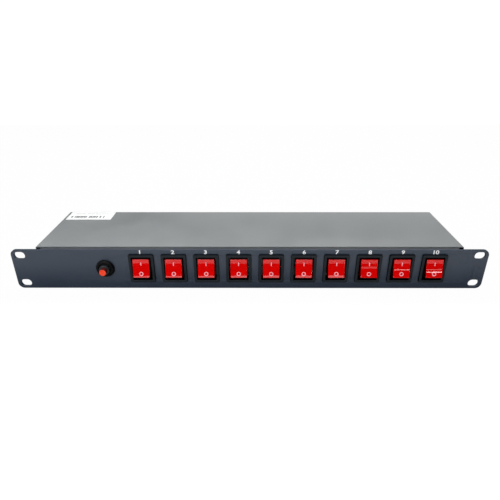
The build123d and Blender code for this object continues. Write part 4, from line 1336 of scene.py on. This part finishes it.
@dataclass
class Studio:
    """Floor, lights, surroundings and camera.

    Each slit is its X, the height of its middle, its own height and its power.
    """

    camera_place: Vector = field(default_factory=lambda: Vector((2.82, -396.08, 218.56)) * MM)
    camera_down: float = 26.49
    camera_turn: float = 0.30
    camera_roll: float = -0.10
    lens_mm: float = 31.59
    near_floor: float = 0.12
    far_floor: float = 14.0
    white: float = 1.05
    slits: tuple[tuple[float, float, float, float], ...] = (
        (0.615, 0.094, 0.035, 0.16), (0.615, -0.012, 0.03, 0.03), (0.5, 0.0, 0.03, 0.07),
        (0.385, -0.09, 0.07, 0.03))
    slit_width: float = 0.11
    slit_distance: float = 1.0
    slit_turn: float = 0.45

    def floor_piece(self, name: str, half_x: float, front: float, rear: float,
                    drop: float) -> bpy.types.Object:
        """A flat sheet at the height of the object's lowest point, less a drop."""
        level = CAD_BOX[0][2] - drop
        corners = np.array([[-half_x, front, level], [half_x, front, level],
                            [half_x, rear, level], [-half_x, rear, level]])
        mesh = bpy.data.meshes.new(name)
        mesh.from_pydata(corners.tolist(), [], [[0, 1, 2, 3]])
        sheet = bpy.data.objects.new(name, mesh)
        bpy.context.scene.collection.objects.link(sheet)
        return sheet

    def floor_material(self, name: str, glow: float) -> bpy.types.Material:
        """A pale matt sheet with a painted shadow close in front of the object, that the camera sees at an even
        white.

        Args:
            name: The material's name.
            glow: The share of even white in what the camera sees.

        Returns:
            The material.
        """
        material, wires, shader = blank_material(name)
        place = wires.object_place()
        grain = wires.noise(place, 60.0, detail=3.0)
        pale = wires.mix(grain, (0.86, 0.86, 0.86), (0.92, 0.92, 0.92))
        parts = wires.node("ShaderNodeSeparateXYZ")
        wires.join(place, parts.inputs[0])
        # Painted shadow: the colour falls to dark grey within a few centimetres in front of the object, for the
        # rays that light it and mirror in it.
        away = wires.spread(parts.outputs["Y"], -0.022, -0.07)
        wires.join(wires.mix(away, (0.2, 0.2, 0.2), pale), shader.inputs["Base Color"])
        shader.inputs["Roughness"].default_value = 0.9
        shader.inputs["Specular IOR Level"].default_value = 0.1
        output = next(n for n in material.node_tree.nodes if n.type == "OUTPUT_MATERIAL")
        light = wires.node("ShaderNodeEmission")
        light.inputs["Strength"].default_value = self.white
        seen = wires.math("MULTIPLY", wires.node("ShaderNodeLightPath").outputs["Is Camera Ray"], glow)
        mixed = wires.node("ShaderNodeMixShader")
        wires.join(seen, mixed.inputs[0])
        wires.join(shader.outputs[0], mixed.inputs[1])
        wires.join(light.outputs[0], mixed.inputs[2])
        wires.join(mixed.outputs[0], output.inputs["Surface"])
        return material

    def floor(self) -> None:
        """A near sheet that lights and mirrors in the object, and a far one that only closes the view."""
        near = self.floor_piece("floor_near", 0.9, -self.near_floor, 0.9, 0.0)
        near.data.materials.append(self.floor_material("floor_near", 0.93))
        far = self.floor_piece("floor_far", self.far_floor, -self.far_floor, self.far_floor, 0.4 * MM)
        far.data.materials.append(self.floor_material("floor_far", 0.97))
        far.visible_glossy = False

    def light(self, name: str, place: tuple[float, float, float], aim: tuple[float, float, float],
              size: tuple[float, float], power: float, colour: Colour = (1.0, 1.0, 1.0)) -> bpy.types.Object:
        """A rectangular soft light.

        Args:
            name: The light's name.
            place: Where it hangs.
            aim: The point that it faces.
            size: Its width and height in metres.
            power: Its power in watts.
            colour: Its colour.

        Returns:
            The light's object.
        """
        data = bpy.data.lights.new(name, "AREA")
        data.shape = "RECTANGLE"
        data.size, data.size_y = size
        data.energy = power
        data.color = colour
        lamp = bpy.data.objects.new(name, data)
        lamp.location = place
        lamp.rotation_euler = (Vector(aim) - Vector(place)).to_track_quat("-Z", "Y").to_euler()
        lamp.visible_camera = False
        bpy.context.scene.collection.objects.link(lamp)
        return lamp

    def lights(self) -> None:
        """A broad light overhead, a soft one in front, weak ones at the left and the rear, and small slits.

        Each slit is low and far in front, so that one of the right-hand rockers mirrors it as a thin line.
        """
        self.light("overhead", (0.0, 0.38, 0.95), (0.0, 0.02, 0.0), (1.5, 0.8), 12.0)
        self.light("front", (-0.25, -1.05, 0.62), (0.0, 0.0, 0.0), (1.4, 0.7), 8.0)
        self.light("left", (-1.0, -0.55, 0.35), (-0.1, 0.0, 0.0), (0.5, 0.6), 2.0, (0.78, 0.89, 1.0))
        self.light("rear", (0.25, 1.2, 0.14), (0.03, 0.1, 0.0), (1.2, 0.22), 1.0)
        for number, (x, z, height, power) in enumerate(self.slits, start=1):
            self.light(f"slit_{number}", (x, -self.slit_distance, z), (x - self.slit_turn, 0.0, 0.0),
                       (self.slit_width, height), power)

    def surroundings(self) -> None:
        """A white view for the camera, and for everything else a dim room that is lighter above."""
        world = bpy.data.worlds.new("studio")
        bpy.context.scene.world = world
        world.use_nodes = True
        wires = Wiring(world.node_tree)
        room = next(n for n in world.node_tree.nodes if n.type == "BACKGROUND")
        output = next(n for n in world.node_tree.nodes if n.type == "OUTPUT_WORLD")
        parts = wires.node("ShaderNodeSeparateXYZ")
        wires.join(wires.node("ShaderNodeTexCoord").outputs["Generated"], parts.inputs[0])
        height = wires.spread(parts.outputs["Z"], 0.1, 0.9)
        wires.join(wires.mix(height, (0.012, 0.0125, 0.014), (0.35, 0.35, 0.35)), room.inputs["Color"])
        white = wires.node("ShaderNodeBackground")
        white.inputs["Color"].default_value = (1.0, 1.0, 1.0, 1.0)
        white.inputs["Strength"].default_value = self.white
        mixed = wires.node("ShaderNodeMixShader")
        wires.join(wires.node("ShaderNodeLightPath").outputs["Is Camera Ray"], mixed.inputs[0])
        wires.join(room.outputs[0], mixed.inputs[1])
        wires.join(white.outputs[0], mixed.inputs[2])
        wires.join(mixed.outputs[0], output.inputs["Surface"])

    def camera(self) -> None:
        """The camera, in front of the panel and looking down on it."""
        data = bpy.data.cameras.new("camera")
        data.lens = self.lens_mm
        data.clip_start = 0.01
        data.clip_end = 60.0
        camera = bpy.data.objects.new("camera", data)
        camera.location = self.camera_place
        turn = Matrix.Rotation(math.radians(self.camera_turn), 3, "Z")
        turn = turn @ Matrix.Rotation(math.radians(90.0 - self.camera_down), 3, "X")
        camera.rotation_euler = (turn @ Matrix.Rotation(math.radians(self.camera_roll), 3, "Z")).to_euler()
        bpy.context.scene.collection.objects.link(camera)
        bpy.context.scene.camera = camera

    def build(self) -> None:
        """Sets the whole studio up."""
        self.camera()
        self.floor()
        self.lights()
        self.surroundings()
        view = bpy.context.scene.view_settings
        view.view_transform = "Standard"
        view.look = "None"
        LOG.info("studio ready")


def main() -> None:
    """Builds the studio and the object, in order."""
    logging.basicConfig(level=logging.INFO, format="%(name)s: %(message)s")
    Studio().build()
    shop = FinishShop()
    dressing = Dressing(shop)
    dressing.paint()
    dressing.soften()
    Case(shop).build()
    Breaker(shop).build()
    for number in range(1, SWITCH_COUNT + 1):
        Switch(number, shop).build()


if __name__ == "__main__":
    main()
